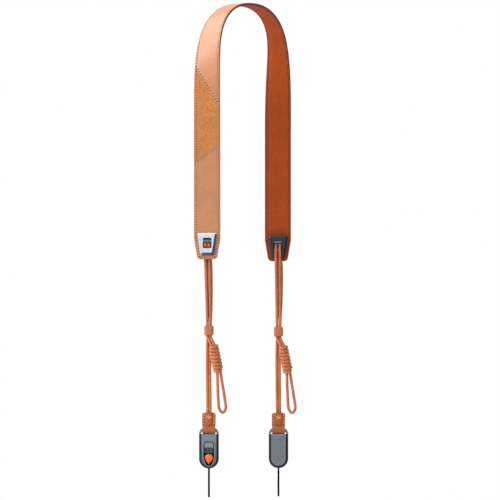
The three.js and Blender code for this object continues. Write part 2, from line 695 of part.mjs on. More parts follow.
// Leather layers: a whole lining, and a face cut by two slanted seams round the suede panel
const rows = bandRows(...legs);
const windows = legs.flatMap(windowCuts);
const seamGap = layerGap / 2;
const lining = cut(leatherLayer(rows, 0, liningThickness), ...windows);
const face = cut(leatherLayer(rows, liningThickness + layerGap, bandThickness), ...windows);
const belowTop = toSolid(belowSeam(legs[0], suedeTop, -seamGap));
const aboveTop = toSolid(face).subtract(toSolid(belowSeam(legs[0], suedeTop, seamGap)));
const belowBottom = toSolid(face).intersect(toSolid(belowSeam(legs[0], suedeBottom, -seamGap)));
const panel = toSolid(face).intersect(belowTop).subtract(toSolid(belowSeam(legs[0], suedeBottom, seamGap)));
addPiece('lining_leather', lining, materials.lining);
addPiece('face_leather', toGeometry(aboveTop), materials.smoothLeather);
addPiece('suede_panel', toGeometry(panel), materials.suede);
addPiece('tip_leather', toGeometry(belowBottom), materials.smoothLeather);

for (const leg of legs) {
  addPiece(`${leg.name}_outer_plate`, makeOuterPlate(leg), materials.steel);
  addPiece(`${leg.name}_inner_plate`, makeInnerPlate(leg), materials.blackMetal);
  addPiece(`${leg.name}_cord_pin`, makePin(leg), materials.blackMetal);
  addPiece(`${leg.name}_cord`, makeCord(leg), materials.cordLeather);
  addPiece(`${leg.name}_sleeve`, makeSleeve(leg), materials.cordLeather);
  addPiece(`${leg.name}_knot`, makeKnot(leg), materials.cordLeather);
  addPiece(`${leg.name}_tab`, makeTab(leg), materials.cordLeather);
  addPiece(`${leg.name}_housing`, makeHousing(leg), materials.greyPlastic);
  addPiece(`${leg.name}_button`, makeButton(leg), materials.greyPlastic);
  addPiece(`${leg.name}_anchor`, makeAnchor(leg), materials.orangePlastic);
  addPiece(`${leg.name}_anchor_cord`, makeAnchorCord(leg), materials.blackCord);
}

export default group;
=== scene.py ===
"""Dresses the camera neck strap: stitched leather band, plates, cords, knots, tabs and quick-release ends.

Lengths are millimetres until a point goes into a mesh, where they become metres. The axes are the
frame's own: X from the left leg to the right one, +Y away from the viewer, +Z up, origin at the neck seat.
"""
import json
import math

import bmesh
import bpy
from mathutils import Matrix, Vector

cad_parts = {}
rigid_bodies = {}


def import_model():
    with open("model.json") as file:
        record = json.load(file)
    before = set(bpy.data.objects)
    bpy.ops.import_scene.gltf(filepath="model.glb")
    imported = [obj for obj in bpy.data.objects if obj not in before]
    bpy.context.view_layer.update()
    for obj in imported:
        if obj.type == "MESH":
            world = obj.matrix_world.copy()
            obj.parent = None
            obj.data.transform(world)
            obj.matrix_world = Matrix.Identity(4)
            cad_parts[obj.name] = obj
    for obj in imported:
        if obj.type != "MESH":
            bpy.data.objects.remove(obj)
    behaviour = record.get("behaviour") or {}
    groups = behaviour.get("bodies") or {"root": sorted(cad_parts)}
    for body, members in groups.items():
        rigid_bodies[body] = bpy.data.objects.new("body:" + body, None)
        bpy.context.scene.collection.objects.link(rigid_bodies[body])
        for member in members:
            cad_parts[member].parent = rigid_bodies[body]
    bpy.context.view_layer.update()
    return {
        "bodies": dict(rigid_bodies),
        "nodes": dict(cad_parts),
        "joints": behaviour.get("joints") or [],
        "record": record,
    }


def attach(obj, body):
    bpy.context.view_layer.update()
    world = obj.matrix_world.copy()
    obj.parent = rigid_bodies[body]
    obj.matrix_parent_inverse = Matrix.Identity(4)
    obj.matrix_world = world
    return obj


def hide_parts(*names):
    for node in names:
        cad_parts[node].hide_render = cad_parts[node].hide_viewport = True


bl_info = {
    "name": "Camera Neck Strap",
    "version": (1, 0, 0),
    "blender": (4, 5, 0),
    "location": "View3D > Sidebar > Neck Strap",
    "description": "Builds a leather camera neck strap over its packed frame",
    "category": "Object",
}

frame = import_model()

MM = 0.001
UP = Vector((0, 0, 1))

# Neck band
HALF_WIDTH = 13.5
LAYER = 1.1
LAYER_GAP = 0.3
BAND = 2 * LAYER + LAYER_GAP
GAP = 0.3
ARCH_RADIUS = 53
TOP_TURN = 58.8
STRAIGHT_FROM = 200
TAPER = 22
CORNER = 4.2
TIP_HALF = 6.3
SHOULDER = TIP_HALF + CORNER

# Plates, heights measured up from a tip
WINDOW_HALF = 5.1
WINDOW_TOP = 22.6
WINDOW_BOTTOM = 5.6
PIN_HEIGHT = 14.6
PIN_RADIUS = 1.1
PIN_INSET = 0.6
PIN_PITCH = 4.2
PLATE_FOOT = 7.2
PLATE_HEAD = 10.3
SEEN_HALF = 4.7
SEEN_LOW = 9.5
SEEN_HIGH = 22

# Cord, sleeve and knot, drops measured down from a tip
CORD = 3.0
PITCH = CORD + GAP
SLEEVE_DROP = 69.4
SLEEVE_LENGTH = 10
SLEEVE_WALL = 1.3
SLEEVE_CORNER = 2.2
KNOT_DROP = 89.0
KNOT_END = 117.4
KNOT_RADIUS = 5.6
KNOT_TOP = 4.3
KNOT_BOTTOM = 10.2
KNOT_Y = GAP - KNOT_RADIUS
TAIL_END = 160.0
TAIL_WIDTH = 7.6
TAIL_SHIFT = 14.4
TAIL_ROWS = ((0.3, 0.66, 0.32), (0.68, 0.9, 0.72), (0.91, 0.86, 0.94))
BACK_ROWS = ((44, 1.3), (11, 1.8), (2.5, 1.5))

# Cords: sides, and how much wider and how far along one is pressed at a tight bend
CORD_SIDES = 16
BEND_PRESS = 0.26
BEND_REACH = 2.6

# Wraps of a knot: half thickness, half breadth as a share of the pitch, steps a turn and of a tucked end
WRAP_THICK = 1.6
WRAP_BROAD = 0.425
WRAP_STEPS = 36
TUCK_STEPS = 12
# Radius of the knot's dark core, painted shade that shows between the wraps
CORE_RADIUS = 4.3

# Tab and housing
TAB_DROP = 160.2
TAB_HALF = 7.0
TAB_LAYER = 1.2
TAB_POCKET = 12.6
TAB_CORNER = 1.9
TAB_COLUMNS = 24
TAB_SEWING = 5.4
TAB_PITCH = 2.9
TAB_RIDGE = 2.2
HOUSING_DROP = 176.0
HOUSING_HALF = 10.25
HOUSING_HEIGHT = 42.3
HOUSING_DEPTH = 10.0
HOUSING_CORNER = 5.8
HOUSING_EDGE = 2.5
PANEL_INSET = 2.6
PANEL_TOP = -9.6
BAR_HEIGHT = 4.8
BAR_DEPTH = 4.8
SLOT_LOW = -6.6
SLOT_HALF = 8.2
POCKET_TOP = 14.2
POCKET_HALF = 5.5
POCKET_CORNER = 3.2
POCKET_SHOULDER = 29.6
POCKET_BEND = 3.2
POCKET_TIP = 2.1
POCKET_BOTTOM = 39.2
POCKET_DEPTH = 5.2
BUTTON_HEIGHT = 11.6
BUTTON_DEPTH = 3.4
BUTTON_SINK = 0.3
DISH_RADIUS = 6
ANCHOR_GAP = 0.9
ANCHOR_SINK = 0.6
ANCHOR_DEPTH = 4.3
ANCHOR_LOW = 1.2 - POCKET_BOTTOM
ANCHOR_PROFILE = ((0.3, -0.02), (0.62, 0.04), (0.84, 0.14), (0.96, 0.26), (1, 0.42), (1, 0.8), (0.94, 1))
ANCHOR_CORD = 2.0
ANCHOR_PITCH = ANCHOR_CORD + GAP
ANCHOR_DROP = 30.2
ANCHOR_SPREAD = 3.4
OUTLET_DEPTH = ANCHOR_PITCH + ANCHOR_CORD + 2 * GAP
OUTLET_MIDDLE = 0.8 + OUTLET_DEPTH / 2 - HOUSING_DEPTH / 2

# Heights of the two slanted seams at the left leg's far and near edge
SUEDE_TOP = (-64.3, -109)
SUEDE_BOTTOM = (-165, -144.5)

# Mesh of the band: columns in from its edge, rows up from a tip, half the gap of a slanted seam, where
# the left leg's own leather begins, and the steps of its rows, its painted edge and a seam's points
COLUMN_INSETS = (0, 0.3, 0.8, 1.25, 1.75, 2.25, 2.8, 4, 6.2)
TIP_ROWS = (0, 0.3, 0.7, 1.2, 1.7, 2.2, 2.9, 3.5, CORNER, WINDOW_BOTTOM, 8, 10.5, 13, 16, 19,
            WINDOW_TOP - 0.6, WINDOW_TOP, 25)
SEAM_GAP = 0.05
LEFT_LEG_FROM = -30
ROW_STEP = 2.6
EDGE_STEP = 2.4
SEAM_STEPS = 60
SEAM_REACH = (20.0, 250.0)

# Leather pulled in by the sewing and rolled down at the edge
PULL_DEPTH = 0.22
PULL_WIDTH = 0.55
ROLL_DEPTH = 0.3
ROLL_WIDTH = 0.8

# Sewing: slant of a stitch in degrees, the longest step between two needle holes, and each slanted
# seam's row of stitches with its height over the seam, its pitch as a share of the edge's and its lift
STITCH_SLANT = 14
LONGEST_STEP = 5
SEAM_ROWS = ((SUEDE_TOP, 1.9), (SUEDE_BOTTOM, -1.5))
SEAM_PITCH = 1.15
SEAM_LIFT = 0.22

# Section of the painted edge over its middle line, from the lining's side to the face's
EDGE_INSET = 0.25
EDGE_SECTION = ((-0.5, -0.95), (0.1, -1.08), (0.34, -0.9), (0.46, -0.45), (0.5, 0),
                (0.46, 0.45), (0.34, 0.9), (0.1, 1.08), (-0.5, 0.95))


class Leg:
    """One leg of the band: where it runs, and the places that its cord and housing are set out from."""

    def __init__(self, name, sign, length, bend, power, fade, fade_power, aside):
        self.name = name
        self.sign = sign
        self.length = length
        self.rows = self.course(bend * ARCH_RADIUS, power, fade * ARCH_RADIUS, fade_power)
        self.tip = self.at(length)[0]
        self.aside = aside
        self.centre = self.tip + Vector((aside, -sign * (GAP + CORD / 2 + PITCH / 2), 0))

    def course(self, bend, power, fade, fade_power):
        """Place, direction across and outward normal at every millimetre down the leg."""
        full = math.tanh((STRAIGHT_FROM / bend) ** power)
        place = Vector((0, 0, 0))
        rows = []
        for arc in range(self.length + 2):
            incline = math.pi / 2 * min(1, math.tanh((arc / bend) ** power) / full)
            turn = math.radians(TOP_TURN) * (1 + math.cos(math.pi * min(1, (arc / fade) ** fade_power))) / 2
            ahead = Vector((math.sin(turn), math.cos(turn), 0)) * self.sign
            across = Vector((math.cos(turn), -math.sin(turn), 0))
            rows.append((place.copy(), across, ahead * math.sin(incline) + UP * math.cos(incline)))
            place += ahead * math.cos(incline) - UP * math.sin(incline)
        return rows

    def at(self, arc):
        """Place, direction across and normal at any length down the leg."""
        low = min(int(arc), len(self.rows) - 2)
        share = arc - low
        return [a.lerp(b, share) for a, b in zip(self.rows[low], self.rows[low + 1])]

    def outward(self, height):
        """Y of a point this far outwards from the band's inner face, at the tip."""
        return self.tip.y + self.sign * height

    def hang(self, x, y, drop):
        """Point beside the cord's middle, this far down from the band's tip."""
        return Vector((self.centre.x + x, self.centre.y + y, self.centre.z - drop))


LEFT = Leg("left", -1, 291, 1.09, 1, 3.1, 0.8, 1.8)
RIGHT = Leg("right", 1, 293, 0.93, 1.33, 3.05, 1.2, 0.6)
LEGS = (LEFT, RIGHT)


def leg_at(arc):
    """The leg that a signed length from the top lies on."""
    return LEFT if arc < 0 else RIGHT


def tip_distance(arc):
    """How far up along the band from its leg's tip a point lies."""
    return leg_at(arc).length - abs(arc)


def band_row(arc):
    """Place, direction across and normal at a signed length from the top."""
    return leg_at(arc).at(abs(arc))


def band_point(arc, offset, height):
    """Point of the band: signed length from the top, distance across it, height over its inner face."""
    place, across, normal = band_row(arc)
    return place + across * offset + normal * height


def half_width(arc):
    """Half width of the band, which narrows to a round-cornered tip at both ends."""
    from_tip = max(0, tip_distance(arc))
    if from_tip >= TAPER:
        return HALF_WIDTH
    if from_tip >= CORNER:
        return SHOULDER + (HALF_WIDTH - SHOULDER) * (from_tip - CORNER) / (TAPER - CORNER)
    return TIP_HALF + math.sqrt(CORNER ** 2 - (CORNER - from_tip) ** 2)


def edge_distance(arc, offset):
    """How far a point of the band lies in from the nearest edge."""
    from_tip = max(0, tip_distance(arc))
    if from_tip < CORNER and abs(offset) > TIP_HALF:
        return CORNER - math.hypot(CORNER - from_tip, abs(offset) - TIP_HALF)
    return min(half_width(arc) - abs(offset), from_tip)


def tip_turn(leg, inset):
    """Arc and offset of the outline round a tip, from its near side to its far side."""
    corner = CORNER - inset
    near = [(leg.length - TAPER, HALF_WIDTH - inset)]
    for step in range(11):
        angle = math.pi / 20 * step
        near.append((leg.length - CORNER + corner * math.sin(angle), TIP_HALF + corner * math.cos(angle)))
    return near + [(arc, -offset) for arc, offset in reversed(near)]


def spaced(points, step, closed=False):
    """Points at even steps along a line of points."""
    line = [Vector(point) for point in points]
    if closed:
        line.append(line[0].copy())
    lengths = [(b - a).length for a, b in zip(line, line[1:])]
    total = sum(lengths)
    count = max(2, round(total / step))
    result, piece, done = [], 0, 0.0
    for i in range(count if closed else count + 1):
        target = total * i / count
        while piece < len(lengths) - 1 and done + lengths[piece] < target:
            done += lengths[piece]
            piece += 1
        share = (target - done) / max(lengths[piece], 1e-9)
        result.append(line[piece].lerp(line[piece + 1], share))
    return result


def band_outline(inset, step):
    """Arc and offset of evenly spaced points round the whole band, this far in from its edge."""
    left = [(-arc, -offset) for arc, offset in tip_turn(LEFT, inset)]
    return spaced(tip_turn(RIGHT, inset) + left, step, closed=True)


def axes_at(side, along, place):
    """Matrix at a place whose X runs sideways and whose Y runs along a line."""
    matrix = Matrix((side, along, side.cross(along))).transposed().to_4x4()
    matrix.translation = place
    return matrix


def surface_frame(place, ahead, height):
    """Matrix of a spot on the band: X sideways, Y ahead along the surface, Z outwards."""
    arc, offset = place
    step = ahead.normalized() * 0.5
    before = band_point(arc - step.x, offset - step.y, height)
    after = band_point(arc + step.x, offset + step.y, height)
    normal = band_row(arc)[2].normalized()
    along = (after - before).normalized()
    side = along.cross(normal).normalized()
    return axes_at(side, along, band_point(arc, offset, height))


# Shader maths

class Wire:
    """A shader socket whose arithmetic adds Math nodes."""

    def __init__(self, nodes, socket):
        self.nodes = nodes
        self.socket = socket

    def math(self, operation, *others, swap=False):
        values = [self, *others]
        return self.nodes.node("ShaderNodeMath", {"operation": operation}, values[::-1] if swap else values)

    def __add__(self, other):
        return self.math("ADD", other)

    __radd__ = __add__

    def __sub__(self, other):
        return self.math("SUBTRACT", other)

    def __rsub__(self, other):
        return self.math("SUBTRACT", other, swap=True)

    def __mul__(self, other):
        return self.math("MULTIPLY", other)

    __rmul__ = __mul__


class Nodes:
    """A node tree, with one method that adds any node to it."""

    def __init__(self, tree):
        self.tree = tree
        self.tree.nodes.clear()

    def feed(self, socket, value):
        """Links a wire to a socket, or sets the socket to a number or colour."""
        if isinstance(value, Wire):
            self.tree.links.new(value.socket, socket)
        elif hasattr(value, "__len__") and len(value) < len(socket.default_value):
            socket.default_value = (*value, 1)
        else:
            socket.default_value = value

    def node(self, kind, settings=None, inputs=(), output=0):
        """Adds a node, sets it, feeds its inputs by name or number and gives one of its outputs back."""
        made = self.tree.nodes.new(kind)
        for key, value in (settings or {}).items():
            if key == "stops":
                ramp = made.color_ramp
                while len(ramp.elements) < len(value):
                    ramp.elements.new(0.5)
                for element, (position, colour) in zip(ramp.elements, value):
                    element.position = position
                    element.color = (*colour, 1)
            else:
                setattr(made, key, value)
        pairs = inputs.items() if isinstance(inputs, dict) else enumerate(inputs)
        for key, value in pairs:
            self.feed(made.inputs[key], value)
        return Wire(self, made.outputs[output]) if made.outputs else None

    def parts(self, vector):
        """X, Y and Z of a vector."""
        first = self.node("ShaderNodeSeparateXYZ", {}, [vector])
        return [Wire(self, socket) for socket in first.socket.node.outputs]


class Finish(Nodes):
    """A material of one shader, with the textures that the strap's finishes share."""

    def __init__(self, name, **constants):
        self.material = bpy.data.materials.new(name)
        self.material.use_nodes = True
        super().__init__(self.material.node_tree)
        surface = self.node("ShaderNodeBsdfPrincipled")
        self.shader = surface.socket.node
        self.node("ShaderNodeOutputMaterial", {}, [surface])
        self.place = self.node("ShaderNodeTexCoord", output="Object")
        self.set(**constants)

    def set(self, **values):
        """Sets or links the shader's own sockets."""
        for name, value in values.items():
            self.feed(self.shader.inputs[name.replace("_", " ").title().replace("Ior", "IOR")], value)
        return self

    def noise(self, scale, detail=2, roughness=0.5, place=None, distortion=0.0):
        values = {"Vector": place or self.place, "Scale": scale, "Detail": detail, "Roughness": roughness,
                  "Distortion": distortion}
        return self.node("ShaderNodeTexNoise", {}, values)

    def cells(self, scale, feature="F1", randomness=1.0):
        values = {"Vector": self.place, "Scale": scale, "Randomness": randomness}
        return self.node("ShaderNodeTexVoronoi", {"feature": feature}, values)

    def stretched(self, *scale):
        """Object coordinates scaled by a factor along each axis."""
        return self.node("ShaderNodeVectorMath", {"operation": "MULTIPLY"}, [self.place, scale])

    def step(self, value, low, high):
        """Rises smoothly from 0 to 1 as the value goes from low to high."""
        settings = {"interpolation_type": "SMOOTHSTEP"}
        return self.node("ShaderNodeMapRange", settings, {"Value": value, "From Min": low, "From Max": high})

    def mix(self, share, first, second):
        """Colour that goes from the first to the second with the share."""
        return self.node("ShaderNodeMix", {"data_type": "RGBA"}, {0: share, 6: first, 7: second}, output=2)

    def bump(self, height, distance):
        """Raised relief: the height socket runs from 0 to 1 over this many metres."""
        values = {"Height": height, "Distance": distance, "Strength": 1.0}
        return self.set(normal=self.node("ShaderNodeBump", {}, values))


def tint(red, green, blue):
    """Linear colour of a screen colour given from 0 to 255."""
    def linear(value):
        value /= 255
        return value / 12.92 if value <= 0.04045 else ((value + 0.055) / 1.055) ** 2.4
    return tuple(linear(value) for value in (red, green, blue))


def shade(colour, factor):
    """A colour made lighter or darker by a factor."""
    return tuple(min(1, value * factor) for value in colour[:3])


def shades(colour, dark, light):
    """A darker and a lighter tone of a colour."""
    return shade(colour, dark), shade(colour, light)


# Sizes and colours that a user would change

def length_property(name, description, default, low, high):
    return bpy.props.FloatProperty(name=name, description=description, default=default * MM, min=low * MM,
                                   max=high * MM, unit="LENGTH", precision=5)


def colour_property(name, description, colour):
    return bpy.props.FloatVectorProperty(name=name, description=description, default=tint(*colour), size=3,
                                         min=0, max=1, subtype="COLOR")


class StrapSizes(bpy.types.PropertyGroup):
    """Sizes of the sewing, the wraps and the small mouldings"""

    stitch_pitch: length_property("Stitch pitch", "Distance from one stitch to the next", 2.8, 1.5, 6)
    stitch_length: length_property("Stitch length", "Thread seen between two needle holes", 1.75, 0.5, 4)
    thread: length_property("Thread", "Thickness of the sewing thread", 0.84, 0.2, 1.2)
    stitch_inset: length_property("Stitch inset", "Distance of the sewing from the band's edge", 1.75, 0.8, 4)
    knot_wraps: bpy.props.IntProperty(name="Knot wraps", description="Turns of cord round each knot",
                                      default=7, min=3, max=12)
    button_dot: length_property("Button dot", "Distance between the dots on the buttons", 1.05, 0.5, 3)


class StrapColours(bpy.types.PropertyGroup):
    """Colours of the leathers, metals and plastics"""

    smooth: colour_property("Smooth leather", "Colour of the band's smooth face", (200, 131, 86))
    suede: colour_property("Suede", "Colour of the napped panel", (200, 131, 75))
    lining: colour_property("Lining", "Colour of the band's inner side", (170, 72, 18))
    edge: colour_property("Edge paint", "Colour of the painted edges", (98, 54, 54))
    cord: colour_property("Cord leather", "Colour of cords, knots and sleeves", (196, 116, 74))
    tab: colour_property("Tab leather", "Colour of the tabs that carry the housings", (170, 92, 46))
    thread: colour_property("Thread", "Colour of the sewing thread", (255, 208, 152))
    housing: colour_property("Housing", "Colour of the quick-release housings", (98, 105, 114))
    button: colour_property("Button", "Colour of the release buttons", (148, 156, 165))
    anchor: colour_property("Anchor", "Colour of the anchors", (250, 112, 44))


def sizes():
    return bpy.context.scene.strap_sizes


def colours():
    return bpy.context.scene.strap_colours


# Finishes

FIBRE = (2400, 2)
BRAID_PITCH = 0.003
BRAID_STRANDS = 4

finishes = {}


def finish_of(name):
    """The named material, made the first time that it is asked for."""
    if name not in finishes:
        finishes[name] = FINISH_MAKERS[name](name)
    return finishes[name].material


def sewn(finish, body, rim, line):
    """Paints the rim outside the stitches in the given rim colour, a painted highlight where it is lighter
    and painted shade where it is darker, and paints shade into the line that the stitches lie in.
    """
    inset = finish.node("ShaderNodeAttribute", {"attribute_name": "inset"}, output="Fac")
    away = (inset - sizes().stitch_inset / MM).math("ABSOLUTE")
    # Mask of the sewn line that gets painted shade, and of the rim that gets the rim's painted light
    pressed = 1 - finish.step(away, 0.1, 1.1)
    edge = 1 - finish.step(inset, 0.3, 1.3)
    return finish.mix(pressed * 0.8, finish.mix(edge * 0.7, body, rim), line)


def leather(name, colour, grain, depth, roughness, coat=0.0, stitched=False):
    """Pebbled leather: fine grain, soft blotches and faint pores, with painted shade in the valleys between
    the pebbles.
    """
    finish = Finish(name, coat_weight=coat, coat_roughness=0.4, specular_ior_level=0.4)
    pebbles = finish.cells(grain, "DISTANCE_TO_EDGE")
    fine = finish.noise(grain * 2.2, 3, 0.6)
    cloud = finish.noise(grain * 0.04, 4, 0.62)
    blotch = finish.noise(grain * 0.2, 3, 0.6)
    tone = finish.step(cloud * 0.6 + blotch * 0.4, 0.3, 0.72)
    body = finish.mix(tone, *shades(colour, 0.86, 1.08))
    # Painted shade: the colour darkens in the narrow valleys between the pebbles
    wear_and_painted_shade = finish.step(pebbles, 0.0, 0.12)
    body = finish.mix(wear_and_painted_shade * 0.16 + 0.84, shade(colour, 0.66), body)
    if stitched:
        # Painted highlight on the rim and painted shade in the line of stitches
        body = sewn(finish, body, shade(colour, 1.12), shade(colour, 0.66))
    finish.set(base_color=body)
    finish.set(roughness=roughness + (fine - 0.5) * 0.22)
    finish.bump(finish.step(pebbles, 0.0, 0.3) * 0.4 + fine * 0.5, depth * MM)
    return finish


def make_lining(name):
    """Soft lining leather: an open, mottled grain with little gloss, with painted shade on its rim and in the
    line of stitches.
    """
    colour = colours().lining
    finish = Finish(name, specular_ior_level=0.2)
    pebbles = finish.cells(850)
    mottle = finish.noise(420, 4, 0.7)
    cloud = finish.noise(38, 3, 0.6)
    tone = finish.step(mottle * 0.65 + cloud * 0.35, 0.3, 0.7)
    body = finish.mix(tone, *shades(colour, 0.8, 1.16))
    # Painted shade on the rim and in the line of stitches
    finish.set(base_color=sewn(finish, body, shade(colour, 0.8), shade(colour, 0.62)))
    finish.set(roughness=0.7 - mottle * 0.16)
    finish.bump(pebbles * 0.6 + mottle * 0.6, 0.08 * MM)
    return finish


def make_suede(name):
    """Napped suede: brushed streaks of lighter and darker fibre, with a painted highlight on its rim and
    painted shade in the line of stitches.
    """
    colour = colours().suede
    finish = Finish(name, roughness=0.95, sheen_weight=0.15, sheen_roughness=0.5, specular_ior_level=0.1)
    streaks = finish.noise(1500, 3, 0.7, finish.stretched(1.0, 1.0, 0.35))
    brushed = finish.noise(620, 4, 0.75, finish.stretched(1.0, 1.0, 0.55), distortion=0.6)
    cloud = finish.noise(45, 3, 0.6)
    tone = finish.step(brushed * 0.55 + streaks * 0.3 + cloud * 0.15, 0.36, 0.64)
    body = finish.mix(tone, *shades(colour, 0.7, 1.18))
    # Painted highlight on the rim and painted shade in the line of stitches
    finish.set(base_color=sewn(finish, body, shade(colour, 1.1), shade(colour, 0.5)))
    finish.bump(streaks * 0.7 + brushed * 0.4, 0.16 * MM)
    return finish


def make_edge(name):
    """Edge paint: glossy, and lighter where it is rubbed."""
    colour = colours().edge
    finish = Finish(name, coat_weight=0.2, coat_roughness=0.3)
    wear_and_painted_shade = finish.noise(220, 3, 0.6)
    finish.set(base_color=finish.mix(finish.step(wear_and_painted_shade, 0.35, 0.75), colour, shade(colour, 1.5)))
    finish.set(roughness=0.38 + wear_and_painted_shade * 0.16)
    finish.bump(wear_and_painted_shade, 0.05 * MM)
    return finish


def make_cord(name):
    """Round leather cord: fine grain with small creases."""
    colour = colours().cord
    finish = Finish(name, coat_weight=0.15, coat_roughness=0.4, specular_ior_level=0.3)
    grain = finish.noise(1800, 3, 0.6)
    creases = finish.noise(700, 3, 0.7, finish.stretched(0.35, 0.35, 1.6))
    cloud = finish.noise(75, 3, 0.6)
    tone = finish.step(cloud * 0.5 + creases * 0.5, 0.3, 0.72)
    finish.set(base_color=finish.mix(tone, *shades(colour, 0.74, 1.14)))
    finish.set(roughness=0.5 + (grain - 0.5) * 0.25)
    finish.bump(creases * 0.7 + grain * 0.4, 0.1 * MM)
    return finish


def make_thread(name):
    """Waxed thread: twisted plies, seen as slanted ribs."""
    colour = colours().thread
    finish = Finish(name, roughness=0.55)
    plies = finish.noise(2400, 2, 0.5, finish.stretched(1.0, 1.0, 0.4))
    finish.set(base_color=finish.mix(finish.step(plies, 0.35, 0.65), *shades(colour, 0.7, 1.1)))
    finish.bump(plies, 0.08 * MM)
    return finish


def grained(name, grain, tones, roughness, spread, depth, **constants):
    """Two tones mottled by one fine grain, which is the relief too and roughens the gloss by the spread."""
    finish = Finish(name, roughness=roughness, **constants)
    mottle = finish.noise(*grain)
    finish.set(base_color=finish.mix(mottle, *tones))
    if spread:
        finish.set(roughness=roughness + mottle * spread)
    finish.bump(mottle, depth * MM)
    return finish


def make_hole_shade(name):
    """Painted shade: the dark, matt colour that stands for the shade inside a needle hole, and for the shade
    deep inside a knot.
    """
    finish = Finish(name, roughness=0.9, specular_ior_level=0.1)
    finish.set(base_color=finish.mix(finish.noise(900), tint(46, 20, 8), tint(78, 38, 16)))
    return finish


def make_steel(name):
    """Polished silver metal with faint wiping marks."""
    finish = Finish(name, metallic=1.0)
    haze = finish.noise(90, 3, 0.6)
    scratches = finish.noise(900, 2, 0.5, finish.stretched(0.2, 1.0, 1.0))
    finish.set(base_color=finish.mix(haze, tint(224, 227, 240), tint(238, 239, 248)))
    finish.set(roughness=0.14 + haze * 0.12)
    finish.bump(scratches * 0.5, 0.006 * MM)
    return finish


def moulded(name, colour, roughness, gloss=0.4):
    """Moulded plastic with a fine spark-eroded texture."""
    finish = Finish(name, specular_ior_level=gloss)
    grain = finish.noise(2200, 3, 0.65)
    cloud = finish.noise(60, 2)
    finish.set(base_color=finish.mix(cloud * 0.5 + grain * 0.5, *shades(colour, 0.86, 1.12)))
    finish.set(roughness=roughness + (grain - 0.5) * 0.2)
    finish.bump(grain, 0.03 * MM)
    return finish


def make_housing(name):
    """Housing plastic with painted light from above: a little lighter at the top than at the bottom."""
    colour = colours().housing
    finish = moulded(name, colour, 0.42)
    top = LEFT.tip.z - HOUSING_DROP
    height = finish.parts(finish.place)[2]
    # Painted light: the colour grows lighter towards the top
    share = finish.step(height, (top - 34) * MM, (top - 8) * MM)
    grain = finish.noise(2200, 3, 0.65)
    body = finish.mix(share, *shades(colour, 0.92, 1.65))
    finish.set(base_color=finish.mix(grain * 0.16, body, shade(colour, 0.5)))
    return finish


def make_button(name):
    """Light plastic whose upper part carries rows of small raised dots, painted lighter than the darker
    ground between them as painted light and shade.
    """
    colour = colours().button
    finish = Finish(name, roughness=0.5)
    pitch = sizes().button_dot
    spots = finish.cells(1 / pitch, "F1", randomness=0.0)
    dots = 1 - finish.step(spots, 0.2, 0.42)
    grain = finish.noise(2000, 2)
    # Painted light and shade: the raised dots lighter, the ground between them darker
    finish.set(base_color=finish.mix(dots * 0.6 + grain * 0.3, *shades(colour, 0.62, 1.15)))
    finish.bump(dots * 0.8 + grain * 0.2, 0.12 * MM)
    return finish


def make_black_cord(name):
    """Black braid: two sets of strands that cross round the cord."""
    finish = Finish(name, roughness=0.8, specular_ior_level=0.0)
    lay = finish.node("ShaderNodeAttribute", {"attribute_name": "lay"}, output="Vector")
    cosine, sine, length = finish.parts(lay)
    angle = sine.math("ARCTAN2", cosine)
    turns = length * (2 * math.pi / BRAID_PITCH)
    left = (angle * BRAID_STRANDS + turns).math("SINE")
    right = (angle * BRAID_STRANDS - turns).math("SINE")
    braid = left.math("MAXIMUM", right) * 0.5 + 0.5
    finish.set(base_color=finish.mix(braid, tint(5, 6, 9), tint(15, 16, 21)))
    finish.bump(braid, 0.05 * MM)
    return finish


def make_floor(name):
    """Matt, almost white floor."""
    finish = Finish(name, roughness=0.85)
    finish.set(base_color=finish.mix(finish.noise(6, 2), (0.88, 0.88, 0.88), (0.93, 0.93, 0.93)))
    return finish


